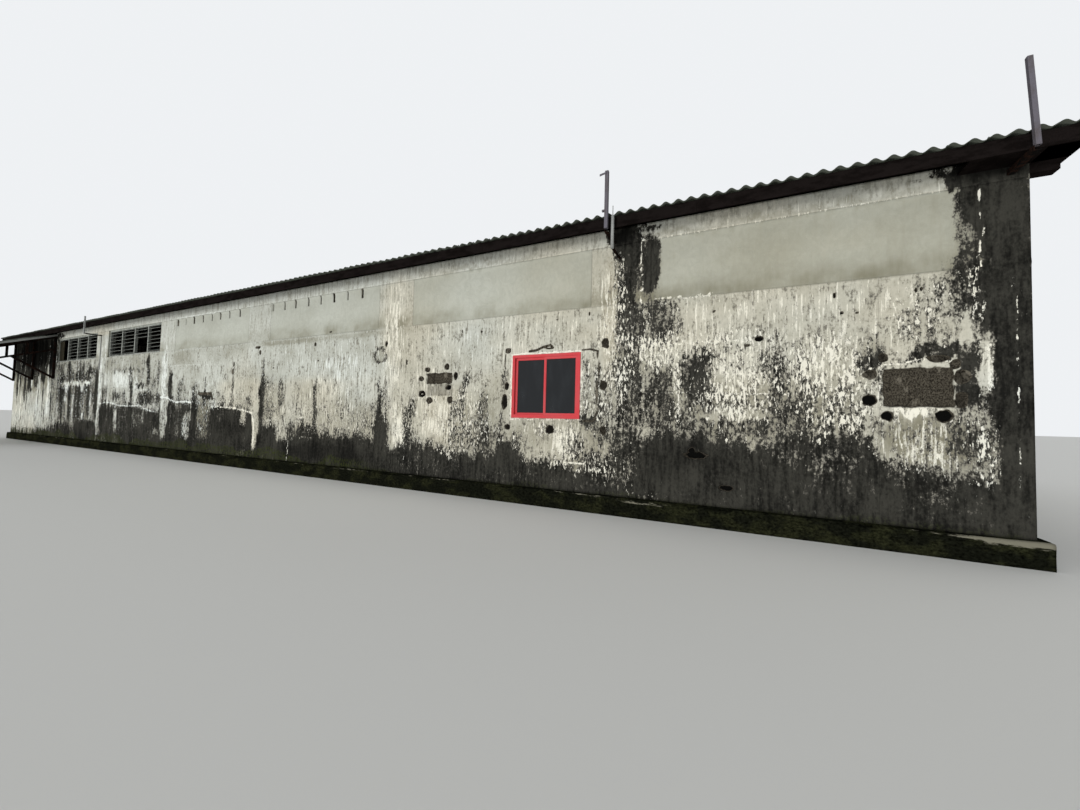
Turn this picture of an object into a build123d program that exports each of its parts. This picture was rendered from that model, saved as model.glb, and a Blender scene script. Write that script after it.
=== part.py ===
from build123d import *
import math
import os

# Single-storey factory hall. Millimetres, +Z up, long front wall facing -Y.
# The origin is the middle of the plan, on the ground.

# Grid and outer walls
BAY = 5000.0
FULL_BAYS = 5
END_BAY = 4773.0
DEPTH = 12000.0
WALL = 200.0
PIER = 1000.0
CORNER_PIER = 460.0
SILL_HEIGHT = 3455.0
BAND_HEIGHT = 1002.0
RING_BEAM_DEEP = 287.0

# Plinth and floor
PLINTH_HEIGHT = 300.0
PLINTH_OUT = 85.0
LEDGE_OUT = 15.0
LEDGE_THICK = 40.0
FLOOR_THICK = 150.0

# Band of high windows, some of them walled up
INFILL_THICK = 150.0
INFILL_RECESS = 25.0
LOUVRE_BAYS = (2, 3)
BLADE_FREE_BAY = 3
BLADE_FREE_LIGHT = 3
BLADES_LEFT_THERE = 3
LIGHTS = 4
LOUVRE_BAR = 55.0
LOUVRE_BAR_DEEP = 80.0
LOUVRE_SETBACK = 45.0
BLADES = 7
BLADE_WIDE = 120.0
BLADE_THICK = 8.0
BLADE_TILT = 35.0

# Circular and squared patches cut into the render
ROUND_PATCH = 390.0
ROUND_PATCH_X = 7070.0
ROUND_PATCH_Z = 2862.0
ROUND_PATCH_DEEP = 12.0
CHIP_DEEP = 40.0
MID_CHIP = (770.0, 500.0)
MID_CHIP_AT = (8825.0, 2200.0)
END_CHIP = (770.0, 520.0)
END_CHIP_AT = (16335.0, 2000.0)

# Sliding window with two sashes
WINDOW_LEFT = 10489.0
WINDOW_WIDE = 1342.0
WINDOW_SILL = 1540.0
WINDOW_TALL = 1155.0
WINDOW_BAR = 50.0
WINDOW_DEEP = 90.0
WINDOW_PROUD = 12.0
SASH_BAR = 48.0
SASH_DEEP = 32.0
PANE_THICK = 6.0

# Double door in the left gable
DOOR_WIDE = 3200.0
DOOR_TALL = 3300.0
DOOR_BAR = 80.0
DOOR_BAR_DEEP = 120.0
LEAF_THICK = 45.0
LEAF_GAP = 6.0

# Roof
PITCH = 15.0
EAVE_OUT = 430.0
VERGE_OUT = 350.0
RIDGE_GAP = 30.0
WAVE = 177.0
WAVE_DEPTH = 51.0
SHEET_THICK = 6.0
SEAT = 0.3
PURLIN = 60.0
PURLINS_A_SLOPE = 7
EAVE_PURLIN_IN = 120.0
RIDGE_PURLIN_IN = 150.0
PURLIN_END_IN = 30.0
CHORD = 60.0
TRUSS_THICK = 60.0
WEB = 50.0
WEB_PANELS = 3
TAIL_OUT = 360.0
FASCIA_THICK = 25.0
FASCIA_DEEP = 180.0
FASCIA_OVER_WALL = 21.0
RIDGE_WING = 260.0
RIDGE_ROLL = 55.0
RIDGE_THICK = 10.0

# Steel stubs above the eave
POST = 62.0
POST_OUT = 480.0
ARM_DEEP = 60.0
MID_POST_X = 12380.0
MID_POST_BELOW_WALL = 254.0
MID_POST_TALL = 970.0
CORNER_POST_X = 17105.0
CORNER_POST_BELOW_WALL = 234.0
CORNER_POST_TALL = 1040.0
CORNER_POST_LEAN = 2.0
CROSS_ARM = 90.0
CROSS_ARM_DEEP = 30.0
CLEAT = 45.0
WALL_ARM_X = -7620.0
WALL_ARM_BELOW_WALL = 428.0
WALL_ARM_OUT = 470.0
WALL_ARM = 40.0
WALL_POST_TALL = 660.0
CONDUIT = 25.0
CONDUIT_DOWN = 1300.0
PIPE = 50.0
PIPE_X = 12480.0
PIPE_BELOW_WALL = 524.0
PIPE_TALL = 520.0
PIPE_ARM_OUT = 455.0
PIPE_ARM = 30.0
STUB_LONG = 245.0
STUB_DEEP = 120.0
STUB_WIDE = 140.0
STUB_BELOW_WALL = 254.0

# Lean-to canopy at the left end
CANOPY_RIGHT = -12050.0
CANOPY_OUT = 2400.0
CANOPY_FALL = 21.8
CANOPY_BELOW_WALL = 144.0
CANOPY_BRACKETS = 3
CANOPY_BAR = 70.0
CANOPY_LEG = 1840.0
CANOPY_TIE_DROP = 560.0
CANOPY_PURLIN = 50.0
CANOPY_PURLINS = 4
CANOPY_EDGE = 70.0
CANOPY_EDGE_THICK = 6.0
CANOPY_OVER = 60.0

# Worked out from the sizes above
BAYS = FULL_BAYS + 2
LENGTH = FULL_BAYS * BAY + 2 * END_BAY
HALF_LENGTH = LENGTH / 2
HALF_DEPTH = DEPTH / 2
LINTEL = SILL_HEIGHT + BAND_HEIGHT
WALL_TOP = LINTEL + RING_BEAM_DEEP
SLOPE = math.tan(math.radians(PITCH))
COS_PITCH = math.cos(math.radians(PITCH))
ROOF_RUN = (HALF_DEPTH + EAVE_OUT - RIDGE_GAP) / COS_PITCH
ROOF_LENGTH = LENGTH + 2 * VERGE_OUT
FASCIA_TOP = WALL_TOP + FASCIA_OVER_WALL
CANOPY_TOP = WALL_TOP - CANOPY_BELOW_WALL
CANOPY_LEG_FOOT = CANOPY_TOP - CANOPY_LEG


def sheet_z(y):
    """Underside of the sheets' troughs at a distance y from the ridge line."""
    return WALL_TOP + (SEAT + PURLIN + CHORD) / COS_PITCH + (HALF_DEPTH - abs(y)) * SLOPE


def chord_top_z(y):
    return sheet_z(y) - (SEAT + PURLIN) / COS_PITCH


def chord_bottom_z(y):
    return chord_top_z(y) - CHORD / COS_PITCH


def block(low, high):
    """Box between two opposite corners."""
    size = [b - a for a, b in zip(low, high)]
    middle = [(a + b) / 2 for a, b in zip(low, high)]
    return Pos(*middle) * Box(*size)


def grid_lines():
    first = -FULL_BAYS * BAY / 2
    return [first + BAY * i for i in range(FULL_BAYS + 1)]


def bay_span(bay):
    """Left and right edge of a bay, counted from 1 at the left end."""
    edges = [-HALF_LENGTH] + grid_lines() + [HALF_LENGTH]
    return edges[bay - 1], edges[bay]


def band_span(bay):
    """Left and right jamb of the high window in a bay."""
    left, right = bay_span(bay)
    left += CORNER_PIER if bay == 1 else PIER / 2
    right -= CORNER_PIER if bay == BAYS else PIER / 2
    return left, right


def to_rear(shapes):
    """The same pieces on the other long side."""
    return [shape.mirror(Plane.XZ) for shape in shapes]


def yz_plate(outline, x, thick):
    """Plate cut to an outline of (y, z) points, centred on x."""
    face = make_face(Polyline(*outline, close=True))
    return Plane((x, 0, 0), x_dir=(0, 1, 0), z_dir=(1, 0, 0)) * extrude(face, thick / 2, both=True)


def yz_bar(start, end, deep, x, thick):
    """Straight bar in the plane of y and z, by its centre line."""
    dy, dz = end[0] - start[0], end[1] - start[1]
    long = math.hypot(dy, dz)
    ny, nz = -dz / long * deep / 2, dy / long * deep / 2
    outline = [
        (start[0] + ny, start[1] + nz),
        (end[0] + ny, end[1] + nz),
        (end[0] - ny, end[1] - nz),
        (start[0] - ny, start[1] - nz),
    ]
    return yz_plate(outline, x, thick)


# Base
def floor_slab():
    x, y = HALF_LENGTH - WALL, HALF_DEPTH - WALL
    return [block((-x, -y, 0), (x, y, FLOOR_THICK))]


def long_plinth():
    inner = -(HALF_DEPTH - WALL)
    body = block(
        (-HALF_LENGTH - PLINTH_OUT, -HALF_DEPTH - PLINTH_OUT, 0),
        (HALF_LENGTH + PLINTH_OUT, inner, PLINTH_HEIGHT - LEDGE_THICK),
    )
    reach = PLINTH_OUT + LEDGE_OUT
    ledge = block(
        (-HALF_LENGTH - reach, -HALF_DEPTH - reach, PLINTH_HEIGHT - LEDGE_THICK),
        (HALF_LENGTH + reach, inner, PLINTH_HEIGHT),
    )
    return [body + ledge]


def end_plinth():
    """Plinth under the right gable."""
    inner, y = HALF_LENGTH - WALL, HALF_DEPTH - WALL
    body = block((inner, -y, 0), (HALF_LENGTH + PLINTH_OUT, y, PLINTH_HEIGHT - LEDGE_THICK))
    ledge = block(
        (inner, -y, PLINTH_HEIGHT - LEDGE_THICK),
        (HALF_LENGTH + PLINTH_OUT + LEDGE_OUT, y, PLINTH_HEIGHT),
    )
    return [body + ledge]


# Long walls
def wall_bay(bay):
    """One bay of the front wall, from the plinth up to the sill of the high windows."""
    left, right = bay_span(bay)
    wall = block(
        (left, -HALF_DEPTH, PLINTH_HEIGHT),
        (right, -HALF_DEPTH + WALL, SILL_HEIGHT),
    )
    cuts = window_opening() + render_patches()
    for cut in cuts:
        middle = cut.bounding_box().center()
        if left < middle.X < right:
            wall -= cut
    return [wall]


def window_opening():
    return [
        block(
            (WINDOW_LEFT, -HALF_DEPTH - WALL, WINDOW_SILL),
            (WINDOW_LEFT + WINDOW_WIDE, -HALF_DEPTH + 2 * WALL, WINDOW_SILL + WINDOW_TALL),
        )
    ]


def render_patches():
    """A filled round hole and two places where the render is hacked off."""
    disc = Pos(ROUND_PATCH_X, -HALF_DEPTH, ROUND_PATCH_Z) * Rot(90, 0, 0) * Cylinder(
        ROUND_PATCH / 2, 2 * ROUND_PATCH_DEEP
    )
    cuts = [disc]
    for (wide, tall), (x, z) in ((MID_CHIP, MID_CHIP_AT), (END_CHIP, END_CHIP_AT)):
        cuts.append(Pos(x, -HALF_DEPTH, z) * Box(wide, 2 * CHIP_DEEP, tall))
    return cuts


def rear_wall():
    return [
        block(
            (-HALF_LENGTH, HALF_DEPTH - WALL, PLINTH_HEIGHT),
            (HALF_LENGTH, HALF_DEPTH, SILL_HEIGHT),
        )
    ]


def piers():
    """Piers between the high windows and at the two corners."""
    jambs = [-HALF_LENGTH]
    for bay in range(1, BAYS + 1):
        jambs += band_span(bay)
    jambs.append(HALF_LENGTH)
    return [
        block((left, -HALF_DEPTH, SILL_HEIGHT), (right, -HALF_DEPTH + WALL, LINTEL))
        for left, right in zip(jambs[0::2], jambs[1::2])
    ]


def infill_panels():
    """Masonry that closes the high windows without louvres."""
    panels = []
    for bay in range(1, BAYS + 1):
        if bay in LOUVRE_BAYS:
            continue
        left, right = band_span(bay)
        front = -HALF_DEPTH + INFILL_RECESS
        panels.append(block((left, front, SILL_HEIGHT), (right, front + INFILL_THICK, LINTEL)))
    return panels


def ring_beam():
    return [
        block((-HALF_LENGTH, -HALF_DEPTH, LINTEL), (HALF_LENGTH, -HALF_DEPTH + WALL, WALL_TOP))
    ]


# Gables
def gable_wall():
    """Right gable, cut round the purlins that pass over it."""
    inner = HALF_DEPTH - WALL
    rise = [
        (HALF_DEPTH, WALL_TOP),
        (HALF_DEPTH, sheet_z(HALF_DEPTH) - SEAT / COS_PITCH),
        (0, sheet_z(0) - SEAT / COS_PITCH),
    ]
    right = [(inner, PLINTH_HEIGHT), (inner, WALL_TOP)] + rise
    left = [(-y, z) for y, z in reversed(right[:-1])]
    wall = yz_plate(right + left, HALF_LENGTH - WALL / 2, WALL)
    for purlin in purlins() + to_rear(purlins()):
        wall -= purlin
    return [wall]


def left_gable_wall():
    wall = gable_wall()[0].mirror(Plane.YZ)
    opening = block(
        (-HALF_LENGTH - WALL, -DOOR_WIDE / 2, PLINTH_HEIGHT),
        (-HALF_LENGTH + 2 * WALL, DOOR_WIDE / 2, PLINTH_HEIGHT + DOOR_TALL),
    )
    return [wall - opening]


def door_frame():
    """Posts and head of the double door, on the plinth."""
    x = -HALF_LENGTH + WALL / 2
    low = (x - DOOR_BAR_DEEP / 2, -DOOR_WIDE / 2, PLINTH_HEIGHT)
    high = (x + DOOR_BAR_DEEP / 2, DOOR_WIDE / 2, PLINTH_HEIGHT + DOOR_TALL)
    inside = DOOR_WIDE / 2 - DOOR_BAR
    hole = block(
        (x - DOOR_BAR_DEEP, -inside, PLINTH_HEIGHT - DOOR_BAR),
        (x + DOOR_BAR_DEEP, inside, PLINTH_HEIGHT + DOOR_TALL - DOOR_BAR),
    )
    return [block(low, high) - hole]


def door_leaves():
    x = -HALF_LENGTH + WALL / 2
    inside = DOOR_WIDE / 2 - DOOR_BAR
    low_z = PLINTH_HEIGHT
    high_z = PLINTH_HEIGHT + DOOR_TALL - DOOR_BAR
    leaves = []
    for y0, y1 in ((-inside, -LEAF_GAP / 2), (LEAF_GAP / 2, inside)):
        leaves.append(block((x - LEAF_THICK / 2, y0, low_z), (x + LEAF_THICK / 2, y1, high_z)))
    return leaves


# Sliding window
def bar_frame(left, right, foot, head, bar, front, deep):
    """Rectangular frame of equal bars, its front face at y = front."""
    outer = block((left, front, foot), (right, front + deep, head))
    inner = block(
        (left + bar, front - deep, foot + bar),
        (right - bar, front + 2 * deep, head - bar),
    )
    return outer - inner


def window_clear():
    """Inside edges of the window frame: left, right, foot and head."""
    return (
        WINDOW_LEFT + WINDOW_BAR,
        WINDOW_LEFT + WINDOW_WIDE - WINDOW_BAR,
        WINDOW_SILL + WINDOW_BAR,
        WINDOW_SILL + WINDOW_TALL - WINDOW_BAR,
    )


def window_frame():
    return [
        bar_frame(
            WINDOW_LEFT,
            WINDOW_LEFT + WINDOW_WIDE,
            WINDOW_SILL,
            WINDOW_SILL + WINDOW_TALL,
            WINDOW_BAR,
            -HALF_DEPTH - WINDOW_PROUD,
            WINDOW_DEEP,
        )
    ]


def sash_edges(which):
    """Left edge, right edge and front of the left or right sash."""
    left, right, foot, head = window_clear()
    middle = (left + right) / 2
    track = -HALF_DEPTH - WINDOW_PROUD + WINDOW_DEEP / 2
    if which == "left":
        return left, middle + SASH_BAR / 2, track
    return middle - SASH_BAR / 2, right, track - SASH_DEEP


def sash(which):
    left, right, front = sash_edges(which)
    foot, head = window_clear()[2:]
    return [bar_frame(left, right, foot, head, SASH_BAR, front, SASH_DEEP)]


def window_panes():
    panes = []
    foot, head = window_clear()[2:]
    for which in ("left", "right"):
        left, right, front = sash_edges(which)
        middle = front + SASH_DEEP / 2
        panes.append(
            block(
                (left + SASH_BAR, middle - PANE_THICK / 2, foot + SASH_BAR),
                (right - SASH_BAR, middle + PANE_THICK / 2, head - SASH_BAR),
            )
        )
    return panes


# Louvred windows
def light_spans(bay):
    """Left and right edge of each light between the bars of a louvred window."""
    left, right = band_span(bay)
    clear = (right - left - (LIGHTS + 1) * LOUVRE_BAR) / LIGHTS
    step = clear + LOUVRE_BAR
    return [(left + LOUVRE_BAR + step * i, left + step * (i + 1)) for i in range(LIGHTS)]


def louvre_frame(bay):
    left, right = band_span(bay)
    front = -HALF_DEPTH + LOUVRE_SETBACK
    frame = block((left, front, SILL_HEIGHT), (right, front + LOUVRE_BAR_DEEP, LINTEL))
    for light_left, light_right in light_spans(bay):
        frame -= block(
            (light_left, front - LOUVRE_BAR_DEEP, SILL_HEIGHT + LOUVRE_BAR),
            (light_right, front + 2 * LOUVRE_BAR_DEEP, LINTEL - LOUVRE_BAR),
        )
    return frame


def louvre_blades(bay, whole=True):
    """Tilted blades, from the top down; one light has lost its lower ones."""
    middle = -HALF_DEPTH + LOUVRE_SETBACK + LOUVRE_BAR_DEEP / 2
    pitch = (BAND_HEIGHT - 2 * LOUVRE_BAR) / BLADES
    blades = []
    for light, (left, right) in enumerate(light_spans(bay), start=1):
        robbed = not whole and (bay, light) == (BLADE_FREE_BAY, BLADE_FREE_LIGHT)
        for row in range(BLADES_LEFT_THERE if robbed else BLADES):
            z = LINTEL - LOUVRE_BAR - pitch * (row + 0.5)
            blade = Box(right - left, BLADE_WIDE, BLADE_THICK)
            blades.append(Pos((left + right) / 2, middle, z) * Rot(BLADE_TILT, 0, 0) * blade)
    return blades


def front_louvre_frames():
    return [louvre_frame(bay) for bay in LOUVRE_BAYS]


def front_louvre_blades():
    return [blade for bay in LOUVRE_BAYS for blade in louvre_blades(bay, whole=False)]


def rear_louvre_windows():
    windows = []
    for bay in LOUVRE_BAYS:
        window = louvre_frame(bay)
        for blade in louvre_blades(bay):
            window += blade
        windows.append(window)
    return to_rear(windows)


# Roof
def slope_plane():
    """Plane of the front slope: origin at the eave, y up the slope, z off the sheets."""
    angle = math.radians(PITCH)
    return Plane(
        (0, -HALF_DEPTH - EAVE_OUT, sheet_z(HALF_DEPTH + EAVE_OUT)),
        x_dir=(1, 0, 0),
        z_dir=(0, -math.sin(angle), math.cos(angle)),
    )


def corrugated_sheet(wide, run):
    """Corrugated sheet, centred on x, its troughs' underside at z = 0."""
    waves = math.floor(wide / WAVE)
    half = WAVE / 2
    rise = (WAVE_DEPTH - SHEET_THICK) / 2
    start = -waves * half
    lower, upper = [], []
    for i in range(2 * waves):
        x = start + half * i
        bend = rise if i % 2 else -rise
        points = [(x, rise), (x + half / 2, rise + bend), (x + half, rise)]
        lower.append(ThreePointArc(*[(px, 0, pz) for px, pz in points]))
        upper.append(ThreePointArc(*[(px, 0, pz + SHEET_THICK) for px, pz in points]))
    ends = [
        Line((x, 0, rise), (x, 0, rise + SHEET_THICK)) for x in (start, start + 2 * half * waves)
    ]
    face = Face(Wire(lower + [ends[1]] + upper + [ends[0]]))
    return extrude(face, run, dir=(0, 1, 0))


def roof_sheets():
    return [slope_plane() * corrugated_sheet(ROOF_LENGTH, ROOF_RUN)]


def purlins():
    """Purlins of the front slope, square to the sheets."""
    first = EAVE_PURLIN_IN / COS_PITCH
    step = (ROOF_RUN - RIDGE_PURLIN_IN - first) / (PURLINS_A_SLOPE - 1)
    half = ROOF_LENGTH / 2 - PURLIN_END_IN
    bars = []
    for i in range(PURLINS_A_SLOPE):
        y = first + step * i
        bars.append(slope_plane() * block((-half, y, -SEAT - PURLIN), (half, y + PURLIN, -SEAT)))
    return bars


def truss(x):
    """Steel truss on one grid line, from wall to wall."""
    wall = HALF_DEPTH
    chords = [
        (-wall, chord_bottom_z(wall)),
        (-wall, chord_top_z(wall)),
        (0, chord_top_z(0)),
        (wall, chord_top_z(wall)),
        (wall, chord_bottom_z(wall)),
        (0, chord_bottom_z(0)),
    ]
    frame = yz_plate(chords, x, TRUSS_THICK)
    foot = WALL_TOP + CHORD / 2
    frame += yz_bar((-wall, foot), (wall, foot), CHORD, x, TRUSS_THICK)
    frame += yz_bar((0, foot), (0, chord_bottom_z(0) + CHORD / 2), WEB, x, TRUSS_THICK)
    step = (HALF_DEPTH - WALL) / (WEB_PANELS + 1)
    for side in (-1, 1):
        for i in range(1, WEB_PANELS + 1):
            y = step * i
            top = chord_bottom_z(y) + CHORD / 2
            frame += yz_bar((side * y, foot), (side * y, top), WEB, x, TRUSS_THICK)
            frame += yz_bar((side * (y - step), foot), (side * y, top), WEB, x, TRUSS_THICK)
    return frame


def roof_trusses():
    return [truss(x) for x in grid_lines()]


def rafter_tails():
    """Stubs of the top chords outside the walls, which carry the fascia boards."""
    outline = []
    for y in (HALF_DEPTH, HALF_DEPTH + TAIL_OUT):
        outline.append([(-y, chord_bottom_z(y)), (-y, chord_top_z(y))])
    (foot, top), (far_foot, far_top) = outline
    tails = [yz_plate([foot, top, far_top, far_foot], x, TRUSS_THICK) for x in grid_lines()]
    return tails + to_rear(tails)


def ridge_cap():
    """Two wings on the crests of the sheets, with a half-round roll between them."""
    lift = (WAVE_DEPTH + SEAT) / COS_PITCH
    wing = RIDGE_WING * COS_PITCH
    under = sheet_z(0) + lift
    outline = [
        (-wing, under - wing * SLOPE),
        (0, under),
        (wing, under - wing * SLOPE),
        (wing, under - wing * SLOPE + RIDGE_THICK),
        (0, under + RIDGE_THICK),
        (-wing, under - wing * SLOPE + RIDGE_THICK),
    ]
    cap = yz_plate(outline, 0, ROOF_LENGTH)
    roll = Pos(0, 0, under) * Rot(0, 90, 0) * Cylinder(RIDGE_ROLL, ROOF_LENGTH)
    bore = Pos(0, 0, under) * Rot(0, 90, 0) * Cylinder(RIDGE_ROLL - RIDGE_THICK, ROOF_LENGTH)
    below = yz_plate(
        [(-wing, under - wing * SLOPE), (0, under), (wing, under - wing * SLOPE), (0, 0)],
        0,
        ROOF_LENGTH,
    )
    return [cap + roll - bore - below]


def fascia_board():
    front = -HALF_DEPTH - TAIL_OUT - FASCIA_THICK
    x = ROOF_LENGTH / 2 - PURLIN_END_IN
    return [
        block((-x, front, FASCIA_TOP - FASCIA_DEEP), (x, front + FASCIA_THICK, FASCIA_TOP))
    ]


# Steel stubs at the eave
def post_with_arm(x, foot, tall, lean):
    """Upright outside the fascia on an arm from the wall that passes below the board."""
    arm = block(
        (x - POST / 2, -HALF_DEPTH - POST_OUT - POST / 2, foot),
        (x + POST / 2, -HALF_DEPTH, foot + ARM_DEEP),
    )
    upright = Pos(0, 0, tall / 2) * Box(POST, POST, tall)
    return arm + Pos(x, -HALF_DEPTH - POST_OUT, foot) * Rot(0, -lean, 0) * upright


def eave_posts():
    middle_foot = WALL_TOP - MID_POST_BELOW_WALL
    corner_foot = WALL_TOP - CORNER_POST_BELOW_WALL
    middle = post_with_arm(MID_POST_X, middle_foot, MID_POST_TALL, 0)
    head = middle_foot + MID_POST_TALL
    y = -HALF_DEPTH - POST_OUT
    left = MID_POST_X - POST / 2
    low_y, high_y = y - POST / 2, y + POST / 2
    middle += block(
        (left - CROSS_ARM, low_y, head - 2 * CROSS_ARM_DEEP),
        (left, high_y, head - CROSS_ARM_DEEP),
    )
    cleat = WALL_TOP + 2 * WAVE_DEPTH
    middle += block((left - CLEAT, low_y, cleat - CROSS_ARM_DEEP), (left, high_y, cleat))
    corner = post_with_arm(CORNER_POST_X, corner_foot, CORNER_POST_TALL, CORNER_POST_LEAN)
    return [middle, corner]


def wall_arm_post():
    """Thin upright on a square arm that stands off a pier."""
    y = -HALF_DEPTH - WALL_ARM_OUT
    half = WALL_ARM / 2
    foot = WALL_TOP - WALL_ARM_BELOW_WALL - half
    arm = block(
        (WALL_ARM_X - half, y - half, foot),
        (WALL_ARM_X + half, -HALF_DEPTH, foot + WALL_ARM),
    )
    upright = block(
        (WALL_ARM_X - half, y - half, foot),
        (WALL_ARM_X + half, y + half, foot + WALL_POST_TALL),
    )
    conduit = block(
        (WALL_ARM_X - CONDUIT / 2, -HALF_DEPTH - CONDUIT, foot - CONDUIT_DOWN),
        (WALL_ARM_X + CONDUIT / 2, -HALF_DEPTH, foot + WALL_ARM / 2),
    )
    return [arm + upright + conduit]


def pipe_stub():
    """Short pipe on its own arm, beside the middle post."""
    y = -HALF_DEPTH - PIPE_ARM_OUT
    foot = WALL_TOP - PIPE_BELOW_WALL
    pipe = Pos(PIPE_X, y, foot + PIPE_TALL / 2) * Cylinder(PIPE / 2, PIPE_TALL)
    arm = block(
        (PIPE_X - PIPE_ARM / 2, y, foot),
        (PIPE_X + PIPE_ARM / 2, -HALF_DEPTH, foot + PIPE_ARM),
    )
    return [pipe + arm]


def corner_beam_stub():
    """End of the eave beam that stands out past the right gable."""
    foot = WALL_TOP - STUB_BELOW_WALL
    return [
        block(
            (HALF_LENGTH, -HALF_DEPTH, foot),
            (HALF_LENGTH + STUB_LONG, -HALF_DEPTH + STUB_WIDE, foot + STUB_DEEP),
        )
    ]


# Canopy
def canopy_plane():
    """Plane of the canopy rafters' top, its origin at the wall, y down the slope."""
    angle = math.radians(CANOPY_FALL)
    return Plane(
        (0, -HALF_DEPTH, CANOPY_TOP),
        x_dir=(-1, 0, 0),
        z_dir=(0, -math.sin(angle), math.cos(angle)),
    )


def canopy_line(out, drop=0.0):
    """Point (y, z) below the rafters' top line, at a distance from the wall."""
    fall = math.tan(math.radians(CANOPY_FALL))
    return -HALF_DEPTH - out, CANOPY_TOP - out * fall - drop


def canopy_bracket(x):
    half = CANOPY_BAR / 2
    far = CANOPY_OUT - half
    top = half / math.cos(math.radians(CANOPY_FALL))
    rafter = [
        canopy_line(0),
        canopy_line(CANOPY_OUT),
        canopy_line(CANOPY_OUT, 2 * top),
        canopy_line(0, 2 * top),
    ]
    bracket = yz_plate(rafter, x, CANOPY_BAR)
    leg_top = CANOPY_TOP - half
    bracket += block(
        (x - half, -HALF_DEPTH - CANOPY_BAR, CANOPY_LEG_FOOT), (x + half, -HALF_DEPTH, leg_top)
    )
    bars = [
        (canopy_line(half, CANOPY_TIE_DROP), canopy_line(far, CANOPY_TIE_DROP)),
        (canopy_line(CANOPY_OUT / 3, top), canopy_line(CANOPY_OUT / 3, CANOPY_TIE_DROP)),
        (canopy_line(2 * CANOPY_OUT / 3, top), canopy_line(2 * CANOPY_OUT / 3, CANOPY_TIE_DROP)),
        (canopy_line(far, top), canopy_line(far, CANOPY_TIE_DROP)),
        ((-HALF_DEPTH - half, CANOPY_LEG_FOOT + half), canopy_line(CANOPY_OUT / 2, CANOPY_TIE_DROP)),
    ]
    for start, end in bars:
        bracket += yz_bar(start, end, CANOPY_BAR, x, CANOPY_BAR)
    return bracket


def canopy_brackets():
    left = -HALF_LENGTH + CANOPY_BAR / 2
    right = CANOPY_RIGHT - CANOPY_OVER - CANOPY_BAR / 2
    step = (right - left) / (CANOPY_BRACKETS - 1)
    return [canopy_bracket(left + step * i) for i in range(CANOPY_BRACKETS)]


def canopy_run():
    return CANOPY_OUT / math.cos(math.radians(CANOPY_FALL))


def canopy_purlins():
    step = (canopy_run() - CANOPY_PURLIN) / (CANOPY_PURLINS - 1)
    bars = []
    for i in range(CANOPY_PURLINS):
        y = step * i
        bar = block((-CANOPY_RIGHT, y, 0), (HALF_LENGTH, y + CANOPY_PURLIN, CANOPY_PURLIN))
        bars.append(canopy_plane() * bar)
    return bars


def canopy_sheets():
    wide = HALF_LENGTH + CANOPY_RIGHT
    sheet = corrugated_sheet(wide, canopy_run() + CANOPY_OVER)
    shift = Pos(-CANOPY_RIGHT + wide / 2, 0, CANOPY_PURLIN + SEAT)
    return [canopy_plane() * (shift * sheet)]


def canopy_edge():
    """Pale strip that closes the right side of the canopy."""
    run = canopy_run() + CANOPY_OVER
    strip = block((-CANOPY_RIGHT - CANOPY_EDGE_THICK, 0, 0), (-CANOPY_RIGHT, run, CANOPY_EDGE))
    return [canopy_plane() * strip]


PIECES = {
    "floor_slab": floor_slab,
    "front_plinth": long_plinth,
    "rear_plinth": lambda: to_rear(long_plinth()),
    "right_plinth": end_plinth,
    "left_plinth": lambda: [end_plinth()[0].mirror(Plane.YZ)],
    "front_piers": piers,
    "front_infill_panels": infill_panels,
    "front_ring_beam": ring_beam,
    "rear_wall": rear_wall,
    "rear_piers": lambda: to_rear(piers()),
    "rear_infill_panels": lambda: to_rear(infill_panels()),
    "rear_ring_beam": lambda: to_rear(ring_beam()),
    "right_gable_wall": gable_wall,
    "left_gable_wall": left_gable_wall,
    "door_frame": door_frame,
    "door_leaves": door_leaves,
    "window_frame": window_frame,
    "left_sash": lambda: sash("left"),
    "right_sash": lambda: sash("right"),
    "window_panes": window_panes,
    "front_louvre_frames": front_louvre_frames,
    "front_louvre_blades": front_louvre_blades,
    "rear_louvre_windows": rear_louvre_windows,
    "roof_trusses": roof_trusses,
    "rafter_tails": rafter_tails,
    "purlins": lambda: purlins() + to_rear(purlins()),
    "front_roof_sheets": roof_sheets,
    "rear_roof_sheets": lambda: to_rear(roof_sheets()),
    "ridge_cap": ridge_cap,
    "fascia_boards": lambda: fascia_board() + to_rear(fascia_board()),
    "eave_posts": eave_posts,
    "wall_arm_post": wall_arm_post,
    "pipe_stub": pipe_stub,
    "corner_beam_stub": corner_beam_stub,
    "canopy_brackets": canopy_brackets,
    "canopy_purlins": canopy_purlins,
    "canopy_sheets": canopy_sheets,
    "canopy_edge": canopy_edge,
}
for number in range(1, BAYS + 1):
    PIECES[f"front_wall_bay_{number}"] = lambda number=number: wall_bay(number)

os.makedirs("parts", exist_ok=True)
for node, make in PIECES.items():
    solids = [solid for shape in make() for solid in shape.solids()]
    export_step(Compound(solids), f"parts/{node}.step")
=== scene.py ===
"""Finished surfaces of a long, weathered factory hall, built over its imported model.

Metres, +Z up, the long front wall faces -Y. Run it as a script: each group of pieces has its own
operator, and main() calls them in order.
"""

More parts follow.
